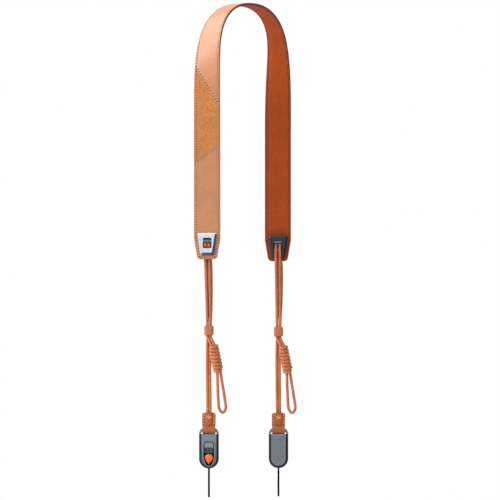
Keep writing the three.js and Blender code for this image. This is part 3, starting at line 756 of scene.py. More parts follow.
FINISH_MAKERS = {
    "smooth_leather": lambda name: leather(name, colours().smooth, 2100, 0.02, 0.5, 0.85, stitched=True),
    "suede_nap": make_suede,
    "lining_grain": make_lining,
    "painted_edge": make_edge,
    "cord_grain": make_cord,
    "tab_grain": lambda name: leather(name, colours().tab, 2200, 0.035, 0.42, 0.3),
    "sleeve_grain": lambda name: leather(name, shade(colours().cord, 0.96), 2200, 0.035, 0.5, 0.1),
    "waxed_thread": make_thread,
    "bright_thread": lambda name: grained(
        name, FIBRE, (tint(255, 138, 84), tint(255, 186, 138)), 0.5, 0, 0.08),
    "lining_thread": lambda name: grained(
        name, FIBRE, shades(shade(colours().lining, 1.25), 0.7, 1.15), 0.6, 0, 0.08),
    # Painted shade for the needle holes and the knots' dark cores
    "needle_hole": make_hole_shade,
    "polished_metal": make_steel,
    "satin_metal": lambda name: grained(
        name, (300, 3, 0.6), (tint(214, 218, 230), tint(236, 238, 246)), 0.42, 0.12, 0.006, metallic=1.0),
    # Darker metal: painted shade on the recessed crossbar of the silver plate
    "brushed_bar": lambda name: grained(
        name, (400, 3, 0.6), (tint(96, 112, 122), tint(140, 160, 168)), 0.4, 0, 0.01, metallic=0.8),
    # Black metal of the inner plates and pins, also painted shade on the silver plate's back and in the
    # window insert
    "black_metal_satin": lambda name: grained(
        name, (1400, 3, 0.6), (tint(30, 34, 44), tint(50, 56, 70)), 0.34, 0.16, 0.03,
        metallic=0.35, coat_weight=0.25, coat_roughness=0.25),
    "housing_grain": make_housing,
    # Painted shade on the housing's rounded rims
    "housing_rim": lambda name: moulded(name, shade(colours().housing, 0.22), 0.6, 0.06),
    # Painted shade inside the front pocket
    "housing_inside": lambda name: moulded(name, shade(colours().housing, 0.12), 0.7, 0.05),
    "panel_grain": lambda name: moulded(name, shade(colours().housing, 1.3), 0.5),
    # Painted highlight: the pocket's lip is a lighter copy of the housing plastic
    "pocket_rim": lambda name: moulded(name, shade(colours().housing, 1.5), 0.35),
    # Painted shade in the hollow of the thumb dish
    "button_dish": lambda name: moulded(name, shade(colours().button, 0.2), 0.5, 0.15),
    "button_dots": make_button,
    "anchor_gloss": lambda name: grained(
        name, (500, 3, 0.6), shades(colours().anchor, 0.86, 1.1), 0.34, 0.14, 0.04,
        coat_weight=0.35, coat_roughness=0.2),
    "black_braid": make_black_cord,
    "pale_floor": make_floor,
}


# Mesh helpers

def new_piece(name, bm, finish, body="strap", replaces=(), more=()):
    """Turns a bmesh in millimetres into a piece that rides on a body. More finishes follow the first one."""
    bmesh.ops.scale(bm, vec=(MM, MM, MM), verts=bm.verts)
    mesh = bpy.data.meshes.new(name)
    bm.to_mesh(mesh)
    bm.free()
    mesh.shade_smooth()
    piece = bpy.data.objects.new(name, mesh)
    bpy.context.collection.objects.link(piece)
    for each in (finish, *more):
        mesh.materials.append(finish_of(each))
    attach(piece, body)
    if replaces:
        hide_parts(*replaces)
    return piece


def crease(piece, degrees=35):
    """Shades a piece smooth except over edges sharper than this."""
    piece.data.set_sharp_from_angle(angle=math.radians(degrees))
    return piece


def add_bevel(piece, width, segments=2, degrees=30):
    """Rounds every edge that is sharper than this, and keeps flat faces flat."""
    modifier = piece.modifiers.new("Rounded edges", "BEVEL")
    modifier.width = width * MM
    modifier.segments = segments
    modifier.limit_method = "ANGLE"
    modifier.angle_limit = math.radians(degrees)
    modifier.harden_normals = True
    return piece


def of_kind(geom, kind):
    """The vertices, edges or faces among what an operator gives back."""
    return [item for item in geom if isinstance(item, kind)]


def add_ball(bm, place, size, segments=8, rings=6, turn=Matrix.Identity(4)):
    """Adds a small ellipsoid, given by its half sizes."""
    matrix = Matrix.Translation(place) @ turn @ Matrix.Diagonal((*size, 1))
    bmesh.ops.create_uvsphere(bm, u_segments=segments, v_segments=rings, radius=1, matrix=matrix)


def bead(segments=8, rings=6):
    """A small sphere that is copied for each stitch or needle hole."""
    bm = bmesh.new()
    bmesh.ops.create_uvsphere(bm, u_segments=segments, v_segments=rings, radius=1)
    return bm


def add_copy(bm, shape, matrix):
    """Adds a moved copy of a small shape to a bmesh."""
    moved = shape.copy()
    moved.transform(matrix)
    mesh = bpy.data.meshes.new("copy")
    moved.to_mesh(mesh)
    moved.free()
    bm.from_mesh(mesh)
    bpy.data.meshes.remove(mesh)


def ellipse(side, high, count):
    """Ellipse in X and Z, given by its half sizes."""
    turns = [2 * math.pi * i / count for i in range(count)]
    return [Vector((side * math.cos(angle), 0, high * math.sin(angle))) for angle in turns]


def rounded_section(width, height, corner, parts=4):
    """Rectangle with round corners, in X and Z."""
    points = []
    for x, z, start in ((1, 1, 0), (-1, 1, 90), (-1, -1, 180), (1, -1, 270)):
        for i in range(parts + 1):
            angle = math.radians(start + 90 * i / parts)
            points.append(Vector((x * (width / 2 - corner) + corner * math.cos(angle), 0,
                                  z * (height / 2 - corner) + corner * math.sin(angle))))
    return points


def sweep(bm, section, frames, closed=False, lay=None):
    """Extrudes a closed section from frame to frame. Each frame's Y runs along the sweep."""
    ring = [bm.verts.new(frames[0] @ point) for point in section]
    first = [bm.edges.new(pair) for pair in zip(ring, ring[1:] + ring[:1])]
    edges, made, distance = first, [], 0.0
    if lay:
        for vert, point in zip(ring, section):
            vert[lay] = (point.x, point.z, 0)
    for before, after in zip(frames, frames[1:]):
        result = bmesh.ops.extrude_edge_only(bm, edges=edges)["geom"]
        verts = of_kind(result, bmesh.types.BMVert)
        edges = [edge for edge in of_kind(result, bmesh.types.BMEdge)
                 if all(vert in verts for vert in edge.verts)]
        bmesh.ops.transform(bm, matrix=after @ before.inverted(), verts=verts)
        distance += (after.translation - before.translation).length
        if lay:
            for vert in verts:
                local = after.inverted() @ vert.co
                vert[lay] = (local.x, local.z, distance * MM)
        made = edges
    if closed:
        bmesh.ops.bridge_loops(bm, edges=first + made)
    else:
        for loop in (first, made):
            bmesh.ops.holes_fill(bm, edges=loop, sides=len(section))
    bmesh.ops.recalc_face_normals(bm, faces=bm.faces)


def route_frames(points):
    """Frames along a line of points that turn as little as they can from one to the next."""
    befores = [points[0], *points[:-1]]
    afters = [*points[1:], points[-1]]
    tangents = [(after - before).normalized() for before, after in zip(befores, afters)]
    side = tangents[0].orthogonal().normalized()
    result = []
    for point, along in zip(points, tangents):
        side = (side - along * side.dot(along)).normalized()
        result.append(axes_at(side, along, point))
    return result


def catmull(points, step):
    """The smooth line through a cord's points, in steps of about this length."""
    line = [2 * points[0] - points[1], *points, 2 * points[-1] - points[-2]]
    result = [points[0].copy()]
    for a, b, c, d in zip(line, line[1:], line[2:], line[3:]):
        first, middle, last = (math.sqrt((q - p).length) for p, q in ((a, b), (b, c), (c, d)))
        leave = ((b - a) / first - (c - a) / (first + middle) + (c - b) / middle) * middle
        arrive = ((c - b) / middle - (d - b) / (middle + last) + (d - c) / last) * middle
        steps = max(2, round((c - b).length / step))
        for i in range(1, steps + 1):
            t = i / steps
            bend = 3 * (c - b) - 2 * leave - arrive
            result.append(b + leave * t + bend * t ** 2 + (leave + arrive - 2 * (c - b)) * t ** 3)
    return result


def line_length(points):
    """Length of a line of points."""
    return sum((b - a).length for a, b in zip(points, points[1:]))


# Band

def band_columns(arc):
    """Offsets across the band: close together at its stitched edges and at the plate windows."""
    half = half_width(arc)
    scale = (half - WINDOW_HALF) / (HALF_WIDTH - WINDOW_HALF)
    near = [half - inset * scale for inset in COLUMN_INSETS] + [WINDOW_HALF, 3.4, 1.7]
    return [-offset for offset in near] + [0] + near[::-1]


def band_arcs():
    """Lengths along the band that the rows of its mesh lie on."""
    left = [from_tip - LEFT.length for from_tip in TIP_ROWS]
    right = [RIGHT.length - from_tip for from_tip in TIP_ROWS[::-1]]
    start, end = left[-1], right[0]
    count = round((end - start) / ROW_STEP)
    return left + [start + (end - start) * i / count for i in range(1, count)] + right


def groove(distance):
    """How deep the sewing pulls the leather in, by distance from the edge."""
    pull = PULL_DEPTH * math.exp(-((distance - sizes().stitch_inset / MM) / PULL_WIDTH) ** 2)
    roll = ROLL_DEPTH * max(0, 1 - distance / ROLL_WIDTH) ** 2
    return pull + roll


def leather_sheet(bm, inner, outer, inner_sewn, outer_sewn):
    """A leather layer of the band, from one height over its inner face to another."""
    arcs = band_arcs()
    columns = len(band_columns(0))
    bmesh.ops.create_grid(bm, x_segments=columns - 1, y_segments=len(arcs) - 1, size=1)
    bm.verts.layers.float_vector.new("cut")
    inset = bm.verts.layers.float.new("inset")
    place = bm.verts.layers.float_vector["cut"]
    for vert in bm.verts:
        column = round((vert.co.x + 1) / 2 * (columns - 1))
        arc = arcs[round((vert.co.y + 1) / 2 * (len(arcs) - 1))]
        vert[place] = (arc, band_columns(arc)[column], 0)

    def in_window(face):
        middle = sum((vert[place] for vert in face.verts), Vector()) / len(face.verts)
        from_tip = tip_distance(middle.x)
        return WINDOW_BOTTOM < from_tip < WINDOW_TOP and abs(middle.y) < WINDOW_HALF

    bmesh.ops.delete(bm, geom=[face for face in bm.faces if in_window(face)], context="FACES")
    low = list(bm.verts)
    result = bmesh.ops.extrude_face_region(bm, geom=list(bm.faces))["geom"]
    high = of_kind(result, bmesh.types.BMVert)
    for verts, height, sewn, way in ((low, inner, inner_sewn, 1), (high, outer, outer_sewn, -1)):
        for vert in verts:
            arc, offset, _ = vert[place]
            vert[inset] = edge_distance(arc, offset)
            depth = groove(vert[inset]) if sewn else 0
            vert.co = band_point(arc, offset, height + way * depth)
    bmesh.ops.recalc_face_normals(bm, faces=bm.faces)


def seam_height(seam, x, rise):
    """Height of a slanted seam, moved up by the rise, at a place across the left leg."""
    far, near = seam
    return (far + near) / 2 + (near - far) / (2 * HALF_WIDTH) * (x - LEFT.tip.x) + rise


def cut_at_seam(bm, seam, rise, keep_above):
    """Cuts the left leg's leather on one side of a slanted seam away and closes the cut."""
    co = Vector((LEFT.tip.x, 0, seam_height(seam, LEFT.tip.x, rise)))
    slope = (seam[1] - seam[0]) / (2 * HALF_WIDTH)
    geom = [face for face in bm.faces if all(vert.co.x < 0 for vert in face.verts)]
    geom += {edge for face in geom for edge in face.edges} | {vert for face in geom for vert in face.verts}
    result = bmesh.ops.bisect_plane(bm, geom=geom, plane_co=co, plane_no=Vector((-slope, 0, 1)),
                                    clear_inner=keep_above, clear_outer=not keep_above)["geom_cut"]
    bmesh.ops.holes_fill(bm, edges=of_kind(result, bmesh.types.BMEdge), sides=0)


def face_sheet(whole):
    """The outer leather of the whole band, or of the left leg only."""
    bm = bmesh.new()
    leather_sheet(bm, LAYER + LAYER_GAP, BAND, False, True)
    if not whole:
        place = bm.verts.layers.float_vector["cut"]
        others = [face for face in bm.faces if any(vert[place].x > LEFT_LEG_FROM for vert in face.verts)]
        bmesh.ops.delete(bm, geom=others, context="FACES")
    return bm


class STRAP_OT_band(bpy.types.Operator):
    """Make the lining, the smooth face, the suede panel and the tip leather"""

    bl_idname = "strap.band"
    bl_label = "Band"

    def execute(self, context):
        bm = bmesh.new()
        leather_sheet(bm, 0, LAYER, True, False)
        self.layer("lining", bm, "lining_grain", "lining_leather", "lining_leather")

        bm = face_sheet(True)
        cut_at_seam(bm, SUEDE_TOP, SEAM_GAP, True)
        self.layer("smooth_face", bm, "smooth_leather", "smooth_leather", "face_leather")

        bm = face_sheet(False)
        cut_at_seam(bm, SUEDE_TOP, -SEAM_GAP, False)
        cut_at_seam(bm, SUEDE_BOTTOM, SEAM_GAP, True)
        self.layer("napped_panel", bm, "suede_nap", "suede", "suede_panel")

        bm = face_sheet(False)
        cut_at_seam(bm, SUEDE_BOTTOM, -SEAM_GAP, False)
        self.layer("tip_face", bm, "smooth_leather", "smooth_leather", "tip_leather")
        return {"FINISHED"}

    def layer(self, name, bm, finish, slot, node):
        """One leather layer, smooth but for its cut edges."""
        crease(new_piece(name, bm, finish, replaces=[node]), 50)


class STRAP_OT_edges(bpy.types.Operator):
    """Make the painted edge that runs round the whole band"""

    bl_idname = "strap.edges"
    bl_label = "Painted edge"

    def execute(self, context):
        left = [(-arc, -offset) for arc, offset in tip_turn(LEFT, EDGE_INSET)]
        corners = [Vector(place) for place in tip_turn(RIGHT, EDGE_INSET) + left]
        places = []
        for start, end in zip(corners, corners[1:] + corners[:1]):
            parts = max(1, round((end - start).length / EDGE_STEP))
            places += [start.lerp(end, i / parts) for i in range(parts)]
        frames = [surface_frame(place, after - before, BAND / 2)
                  for before, place, after in zip(places[-1:] + places, places, places[1:] + places[:1])]
        bm = bmesh.new()
        sweep(bm, [Vector((x, 0, z)) for x, z in EDGE_SECTION], frames, closed=True)
        new_piece("painted_edge", bm, "painted_edge")
        return {"FINISHED"}


def seam_places(seam, rise):
    """Arc and offset of points on a line beside a slanted seam."""
    places = []
    reach = HALF_WIDTH - 1.2
    for i in range(SEAM_STEPS):
        offset = reach * (2 * i / (SEAM_STEPS - 1) - 1)
        low, high = SEAM_REACH
        for _ in range(30):
            middle = (low + high) / 2
            point = band_point(-middle, offset, BAND)
            if point.z > seam_height(seam, point.x, rise):
                low = middle
            else:
                high = middle
        places.append(Vector((-low, offset)))
    return places


def sewing_rows(outer):
    """Rows of stitches on one side of the band, each as places and the height that they lie at."""
    pitch = sizes().stitch_pitch / MM
    height = BAND if outer else 0
    rows = [(band_outline(sizes().stitch_inset / MM, pitch), height, True)]
    if outer:
        for seam, rise in SEAM_ROWS:
            rows.append((spaced(seam_places(seam, rise), pitch * SEAM_PITCH), height + SEAM_LIFT, False))
    return rows


def under_plate(arc, offset, outer):
    """Whether a stitch here would run under a plate."""
    from_tip = tip_distance(arc)
    low, high = 3.2 if outer else 2.0, 28
    half_plate = PLATE_FOOT + (PLATE_HEAD - PLATE_FOOT) * max(0, from_tip - 3.5) / 24
    return low < from_tip < high and abs(offset) < half_plate


class STRAP_OT_sewing(bpy.types.Operator):
    """Make the sewing thread and the needle holes on both sides of the band"""

    bl_idname = "strap.sewing"
    bl_label = "Sewing"

    def execute(self, context):
        for outer in (True, False):
            self.sew(outer)
        return {"FINISHED"}

    def sew(self, outer):
        thread, holes, ball, dot = bmesh.new(), bmesh.new(), bead(), bead(10, 4)
        way = 1 if outer else -1
        slant = Matrix.Rotation(math.radians(STITCH_SLANT * way), 4, "Z")
        length, thick = sizes().stitch_length / MM, sizes().thread / MM
        for places, height, closed in sewing_rows(outer):
            count = len(places)
            for i in range(count if closed else count - 1):
                after = places[(i + 1) % count]
                middle = (places[i] + after) / 2
                if (after - places[i]).length > LONGEST_STEP or under_plate(*middle, outer):
                    continue
                spot = surface_frame(middle, after - places[i], height - way * 0.1)
                stitch = spot @ slant @ Matrix.Diagonal((thick / 2, length / 2, thick * 0.45, 1))
                add_copy(thread, ball, stitch)
                # Needle hole: a small dark bead of painted shade where each stitch starts
                spot = surface_frame(places[i], after - places[i], height - way * 0.16)
                hole = spot @ slant @ Matrix.Diagonal((thick * 0.76, thick * 0.8, thick * 0.24, 1))
                add_copy(holes, dot, hole)
        side = "face" if outer else "lining"
        finish = "waxed_thread" if outer else "lining_thread"
        new_piece(f"{side}_stitches", thread, finish)
        new_piece(f"{side}_needle_holes", holes, "needle_hole")


# Plates and other hard pieces

def solid_copy(node):
    """A merged copy of a CAD node in millimetres, with its flat faces in one piece each."""
    bm = bmesh.new()
    bm.from_mesh(bpy.data.objects[node].data)
    bmesh.ops.scale(bm, vec=(1 / MM,) * 3, verts=bm.verts)
    bmesh.ops.remove_doubles(bm, verts=bm.verts, dist=0.001)
    bmesh.ops.dissolve_limit(bm, angle_limit=math.radians(1), verts=bm.verts, edges=bm.edges)
    return bm


def rounded_copy(node, name, finish, width, segments=3, degrees=12, more=()):
    """A piece that stands for a hard node, with its edges rounded off."""
    bm = solid_copy(node)
    sharp = [edge for edge in bm.edges if edge.calc_face_angle(0) > math.radians(degrees)]
    bmesh.ops.bevel(bm, geom=sharp, offset=width, offset_type="OFFSET", affect="EDGES", segments=segments,
                    profile=0.5, material=-1, clamp_overlap=True)
    piece = new_piece(name, bm, finish, replaces=[node], more=more)
    modifier = piece.modifiers.new("Even shading", "WEIGHTED_NORMAL")
    modifier.keep_sharp = True
    return crease(piece, 40)


class STRAP_OT_plates(bpy.types.Operator):
    """Make the silver and black plates at the band's tips"""

    bl_idname = "strap.plates"
    bl_label = "Plates"

    def execute(self, context):
        for leg in LEGS:
            self.silver(leg)
            for node, name, width, segments, degrees in (
                    ("inner_plate", "black_plate", 0.3, 3, 12), ("cord_pin", "pin", 0.15, 2, 50)):
                rounded_copy(f"{leg.name}_{node}", f"{leg.name}_{name}", "black_metal_satin",
                             width, segments, degrees)
            self.insert(leg)
        return {"FINISHED"}

    def silver(self, leg):
        """Silver plate, painted black as shade on its back and inside its window, duller on its left bevel,
        with a bar of painted shade across it.
        """
        plate = rounded_copy(f"{leg.name}_outer_plate", f"{leg.name}_silver_plate", "polished_metal",
                             0.16, more=["black_metal_satin", "satin_metal"]).data
        # Painted shade: faces on the plate's back and inside its window get the black finish; left-facing
        # bevel faces get the rougher satin metal
        for face in plate.polygons:
            spots = [plate.vertices[i].co / MM - leg.tip for i in face.vertices]
            in_window = all(abs(spot.x) < SEEN_HALF and SEEN_LOW < spot.z < SEEN_HIGH for spot in spots)
            outward = face.normal.y * leg.sign
            if outward < -0.3 or in_window and outward < 0.5:
                face.material_index = 1
            elif 0.3 < outward < 0.97 and face.normal.x < -0.2 and not in_window:
                face.material_index = 2
        front = max(vert.co.y * leg.sign for vert in plate.vertices) / MM * leg.sign
        # Darker bar over the crossbar: painted shade of the recessed bar
        self.small_bar(leg, "window_bar", 8.3, front - leg.sign * 0.2, 19.0, (0.56, 1.9), "brushed_bar")

    def insert(self, leg):
        """Black insert in the leather's window, a dark sheet of painted shade, with a round-topped opening
        for each bend of the cord.
        """
        low, high = 7.6, PIN_HEIGHT + PIN_RADIUS + GAP + CORD
        bm = prism(bmesh.new(), box_outline(WINDOW_BOTTOM, WINDOW_TOP, WINDOW_HALF), -0.6, 0.6)
        opening = rounded_section(3.3, high - low, 1.6, 6)
        bm = carve(bm, [prism(bmesh.new(), shifted(opening, side * PIN_PITCH / 2, (low + high) / 2), -1, 1)
                        for side in (-1, 1)])
        bmesh.ops.translate(bm, verts=bm.verts, vec=(leg.tip.x, leg.outward(0.8), leg.tip.z))
        crease(new_piece(f"{leg.name}_window_insert", bm, "black_metal_satin"))
        # Light metal bar along the black plate's upper window edge: a painted highlight
        self.small_bar(leg, "window_ridge", 8, leg.outward(-2.1), 20.1, (0.7, 1.3), "satin_metal")

    def small_bar(self, leg, name, width, y, height, size, finish):
        """Bar across a plate's window in the given finish: painted shade on the silver plate's crossbar, a
        painted highlight on the black plate's upper edge.
        """
        bm = bmesh.new()
        middle = Matrix.Translation((leg.tip.x, y, leg.tip.z + height))
        bmesh.ops.create_cube(bm, size=1, matrix=middle @ Matrix.Diagonal((width, *size, 1)))
        add_bevel(new_piece(f"{leg.name}_{name}", bm, finish), 0.2)


# Cords

def strand_points(leg, side):
    """Half of a leg's cord, from its end in the tab up over the pin and down to the tail loop's bottom."""
    half = PITCH / 2

    def in_plate(height, rise):
        return Vector((leg.tip.x + side * PIN_PITCH / 2, leg.outward(height), leg.tip.z + rise))

    wrap = PIN_RADIUS + GAP + CORD / 2
    near = -GAP - CORD / 2
    loop = [in_plate(near, PIN_HEIGHT - 9.4), in_plate(0.7 - PIN_INSET, PIN_HEIGHT - 4.1)]
    for degrees in (-45, 10, 65, 120, 175):
        angle = math.radians(degrees)
        loop.append(in_plate(wrap * math.cos(angle) - PIN_INSET, PIN_HEIGHT + wrap * math.sin(angle)))
    loop.append(in_plate(near - PITCH, PIN_HEIGHT - 6))
    if leg.sign < 0:
        loop.reverse()
    back = []
    for drop, shift in BACK_ROWS:
        at_pin = side * PIN_PITCH / 2 - leg.aside
        back.append(leg.hang(at_pin + (side * half - at_pin) * drop / SLEEVE_DROP + shift, half, drop))
    tail = []
    for share, spread, drift in TAIL_ROWS:
        x = KNOT_BOTTOM + (TAIL_SHIFT - KNOT_BOTTOM) * drift + side * TAIL_WIDTH * spread / 2
        tail.append(leg.hang(x, KNOT_Y, KNOT_END + (TAIL_END - KNOT_END) * share))
    return [
        leg.hang(side * half, 0, TAB_DROP + TAB_POCKET - GAP),
        leg.hang(side * (half - 0.2), 0, TAB_DROP + 1),
        leg.hang(side * (half - 0.2) - 0.4, half, KNOT_DROP + 14),
        leg.hang(side * (half - 0.15), half, SLEEVE_DROP + SLEEVE_LENGTH + 1),
        leg.hang(side * half, half, SLEEVE_DROP - 2),
        *back,
        *loop,
        leg.hang(side * half, -half, SLEEVE_DROP - 2),
        leg.hang(side * half, -half, SLEEVE_DROP + SLEEVE_LENGTH + 1),
        leg.hang(KNOT_TOP + side * half, KNOT_Y, KNOT_DROP + 1),
        leg.hang(KNOT_BOTTOM + side * half, KNOT_Y, KNOT_END - 1),
        *tail,
    ]


def cord_route(leg):
    """The whole cord's points: one half, the tail loop's bottom and the other half."""
    bottom = leg.hang(TAIL_SHIFT, KNOT_Y, TAIL_END)
    return [*strand_points(leg, -1), bottom, *reversed(strand_points(leg, 1))]


def tube_piece(name, points, diameter, finish, replaces, bends=()):
    """A cord along a line of points, pressed wider at its tight bends, with its lay kept for its pattern."""
    bm = bmesh.new()
    lay = bm.verts.layers.float_vector.new("lay")
    frames = route_frames(points)
    for frame in frames:
        nearest = min([(frame.translation - bend).length for bend in bends], default=math.inf)
        press = BEND_PRESS * math.exp(-(nearest / BEND_REACH) ** 4)
        widen = Matrix.Scale(1 + press, 4, (1, 0, 0))
        place = Matrix.Translation(frame.translation)
        frame[:] = place @ widen @ place.inverted() @ frame
    sweep(bm, ellipse(diameter / 2, diameter / 2, CORD_SIDES), frames, lay=lay)
    return new_piece(name, bm, finish, replaces=replaces)


def metres(points):
    """Points in metres, as plain tuples."""
    return [tuple(point * MM) for point in points]


class STRAP_OT_cords(bpy.types.Operator):
    """Make the looped leather cord of each leg"""

    bl_idname = "strap.cords"
    bl_label = "Leather cords"

    def execute(self, context):
        for leg in LEGS:
            line = catmull(cord_route(leg), 1.2)
            bends = [Vector((leg.tip.x + side * PIN_PITCH / 2, leg.outward(PIN_RADIUS + CORD / 2 - PIN_INSET),
                             leg.tip.z + PIN_HEIGHT)) for side in (-1, 1)]
            piece = tube_piece(f"{leg.name}_leather_cord", line, CORD, "cord_grain",
                               [f"{leg.name}_cord"], bends)
            path = metres(line)
            round(line_length(line) * MM, 3)
        return {"FINISHED"}


class STRAP_OT_sleeves(bpy.types.Operator):
    """Make the leather sleeve that gathers each leg's four strands"""

    bl_idname = "strap.sleeves"
    bl_label = "Sleeves"

    def execute(self, context):
        inner = PITCH + CORD + 2 * GAP
        outer = inner + 2 * SLEEVE_WALL
        for leg in LEGS:
            middle = leg.hang(0, 0, SLEEVE_DROP + SLEEVE_LENGTH / 2)
            rings = [(share, outer / 2 + swell) for share, swell in (
                (1, -0.25), (0.9, -0.02), (0.5, 0.12), (-0.5, 0.12), (-0.9, -0.02), (-1, -0.25))]
            rings += [(share, inner / 2) for share in (-1, 0, 1)]
            upright = Matrix.Rotation(math.radians(90), 4, "X")
            frames = [Matrix.Translation(middle + UP * share * SLEEVE_LENGTH / 2) @ upright
                      @ Matrix.Diagonal((half, 1, half, 1)) for share, half in rings]
            bm = bmesh.new()
            sweep(bm, rounded_section(2, 2, 0.46), frames, closed=True)
            for z in (-3.4, -1.15, 1.1, 3.35):
                add_ball(bm, middle + Vector((1.2, -outer / 2 - 0.05, z)), (0.28, 0.22, 0.85))
            crease(new_piece(f"{leg.name}_leather_sleeve", bm, "sleeve_grain",
                             replaces=[f"{leg.name}_sleeve"]), 60)
        return {"FINISHED"}


class STRAP_OT_knots(bpy.types.Operator):
    """Make the barrel knots, each a cord wound round its two strands"""

    bl_idname = "strap.knots"
    bl_label = "Knots"

    def execute(self, context):
        for leg in LEGS:
            top, low = leg.hang(KNOT_TOP, KNOT_Y, KNOT_DROP), leg.hang(KNOT_BOTTOM, KNOT_Y, KNOT_END)
            axis, length = (low - top).normalized(), (low - top).length
            self.wraps(leg, top, axis, length)
            # Dark core inside the wraps: painted shade that shows in the gaps between them
            core = route_frames([top + axis * (length * share) for share in (0.05, 0.16, 0.5, 0.84, 0.95)])
            girths = (0.72, 0.93, 1, 0.93, 0.72)
            frames = [frame @ Matrix.Diagonal((girth, 1, girth, 1)) for frame, girth in zip(core, girths)]
            bm = bmesh.new()
            sweep(bm, ellipse(CORE_RADIUS, CORE_RADIUS, 24), frames)
            new_piece(f"{leg.name}_knot_core", bm, "needle_hole")
        return {"FINISHED"}

    def wraps(self, leg, top, axis, length):
        """The wound cord: a helix down the knot whose two ends tuck in."""
        right = Vector((0, -1, 0)).cross(axis).normalized()
        front = axis.cross(right).normalized()
        if front.y > 0:
            front = -front
        broad = length / sizes().knot_wraps * WRAP_BROAD
        steps = WRAP_STEPS * sizes().knot_wraps
        points = []
        for i in range(-TUCK_STEPS, steps + TUCK_STEPS + 1):
            share = min(1, max(0, i / steps))
            angle = 2 * math.pi * i / WRAP_STEPS
            tuck = max(0, -i / TUCK_STEPS, (i - steps) / TUCK_STEPS)
            ends = math.sin(math.pi * min(1, max(0, 0.12 + 0.76 * share))) ** 0.35
            radius = (KNOT_RADIUS - WRAP_THICK) * (0.87 + 0.13 * ends) - 1.9 * tuck
            drop = broad + share * (length - 2 * broad) + 1.25 * math.cos(angle + 0.3)
            points.append(top + axis * drop + (front * math.cos(angle) + right * math.sin(angle)) * radius)
        frames = []
        for before, point, after in zip(points, points[1:], points[2:]):
            along = (after - before).normalized()
            side = (point - top - axis * (point - top).dot(axis)).normalized()
            side = (side - along * side.dot(along)).normalized()
            frames.append(axes_at(side, along, point))
        bm = bmesh.new()
        sweep(bm, ellipse(WRAP_THICK, broad, 14), frames)
        new_piece(f"{leg.name}_wrapped_knot", bm, "cord_grain",
                  replaces=[f"{leg.name}_knot"])


# Tab

def tab_side():
    """Middle line of the tab's leather seen from the side: depth, and height over the housing's top."""
    top = HOUSING_DROP - TAB_DROP
    flat = TAB_LAYER / 2 + 0.15
    out = BAR_DEPTH / 2 + GAP + TAB_LAYER / 2
    low = -BAR_HEIGHT - GAP - TAB_LAYER / 2
    front = [(-flat, top), (-flat, top - 5), (-flat, top - 10), (-flat, 3.6), (-flat - 0.5, 2.5),
             (-out + 0.7, 1.3), (-out, 0), (-out, low + 1.6), (-out + 0.45, low + 0.45), (-out + 1.6, low)]
    line = [Vector(point).to_3d() for point in front + [(-y, z) for y, z in reversed(front)]]
    return [point.to_2d() for point in catmull(line, 0.75)]


class STRAP_OT_tabs(bpy.types.Operator):
    """Make the leather tabs, sewn round the cord's ends and looped round the housings' bars"""

    bl_idname = "strap.tabs"
    bl_label = "Tabs"

    def execute(self, context):
        for leg in LEGS:
            self.make(leg)
        return {"FINISHED"}

    def make(self, leg):
        top = HOUSING_DROP - TAB_DROP
        line = tab_side()
        bm = bmesh.new()
        bmesh.ops.create_grid(bm, x_segments=TAB_COLUMNS, y_segments=len(line) - 1, size=1)
        home = leg.hang(0, 0, HOUSING_DROP)
        for vert in bm.verts:
            depth, height = line[round((vert.co.y + 1) / 2 * (len(line) - 1))]
            from_top = top - height
            corner = max(0, TAB_CORNER - from_top)
            half = TAB_HALF - (TAB_CORNER - math.sqrt(max(0, TAB_CORNER ** 2 - corner ** 2)))
            half -= 0.45 * min(1, max(0, (from_top - 12) / 4))
            x = vert.co.x * half
            inside = min(1, max(0, (TAB_POCKET + 0.5 - from_top) / 0.9))
            hump = TAB_RIDGE * max(0, 1 - (x / 3.9) ** 4) ** 0.5 * inside
            depth += math.copysign(max(0.28 * inside, hump - 0.7), depth)
            vert.co = home + Vector((x, depth, height))
        bmesh.ops.recalc_face_normals(bm, faces=bm.faces)
        piece = new_piece(f"{leg.name}_leather_tab", bm, "tab_grain",
                          replaces=[f"{leg.name}_tab"])
        wall = piece.modifiers.new("Leather thickness", "SOLIDIFY")
        wall.thickness = TAB_LAYER * MM
        wall.offset = 0
        wall.use_even_offset = True
        add_bevel(piece, 0.3, 2, 50)
        self.sew(leg, home, top)

    def sew(self, leg, home, top):
        thread, holes, cross = bmesh.new(), bmesh.new(), bmesh.new()
        surface = TAB_LAYER + 0.4
        ridge = TAB_RIDGE + TAB_LAYER * 0.5 + 0.12
        for way in (-1, 1):
            for x in (-TAB_SEWING, TAB_SEWING):
                for i in range(4):
                    z = top - 2.4 - TAB_PITCH * i
                    add_ball(thread, home + Vector((x, way * surface, z)), (0.32, 0.26, 0.9))
                    # Needle hole: a small dark bead of painted shade between two stitches
                    spot = home + Vector((x, way * (surface - 0.05), z - TAB_PITCH / 2))
                    add_ball(holes, spot, (0.5, 0.2, 0.55), rings=4)
            slant = Matrix.Rotation(math.radians(way * -56), 4, "Y")
            for x, z, long in ((-1.0, top - 3.6, 1.5), (0.3, top - 5.0, 2.5), (1.7, top - 5.4, 1.2)):
                add_ball(cross, home + Vector((x, way * ridge, z)), (0.5, 0.36, long), 12, 8, slant)
        new_piece(f"{leg.name}_tab_stitches", thread, "waxed_thread")
        new_piece(f"{leg.name}_tab_holes", holes, "needle_hole")
        new_piece(f"{leg.name}_tab_lashing", cross, "bright_thread")


# Quick-release housings

def housing_home(leg):
    """Matrix from a housing's own front-on place, its top at z = 0, to its place on a leg."""
    home = Matrix.Translation(leg.hang(0, 0, HOUSING_DROP))
    return home @ Matrix.Rotation(math.pi, 4, "Z") if leg.sign > 0 else home


def put_in_place(bm, leg):
    """Moves a shape that was made front-on to its housing's place."""
    bmesh.ops.transform(bm, matrix=housing_home(leg), verts=bm.verts)


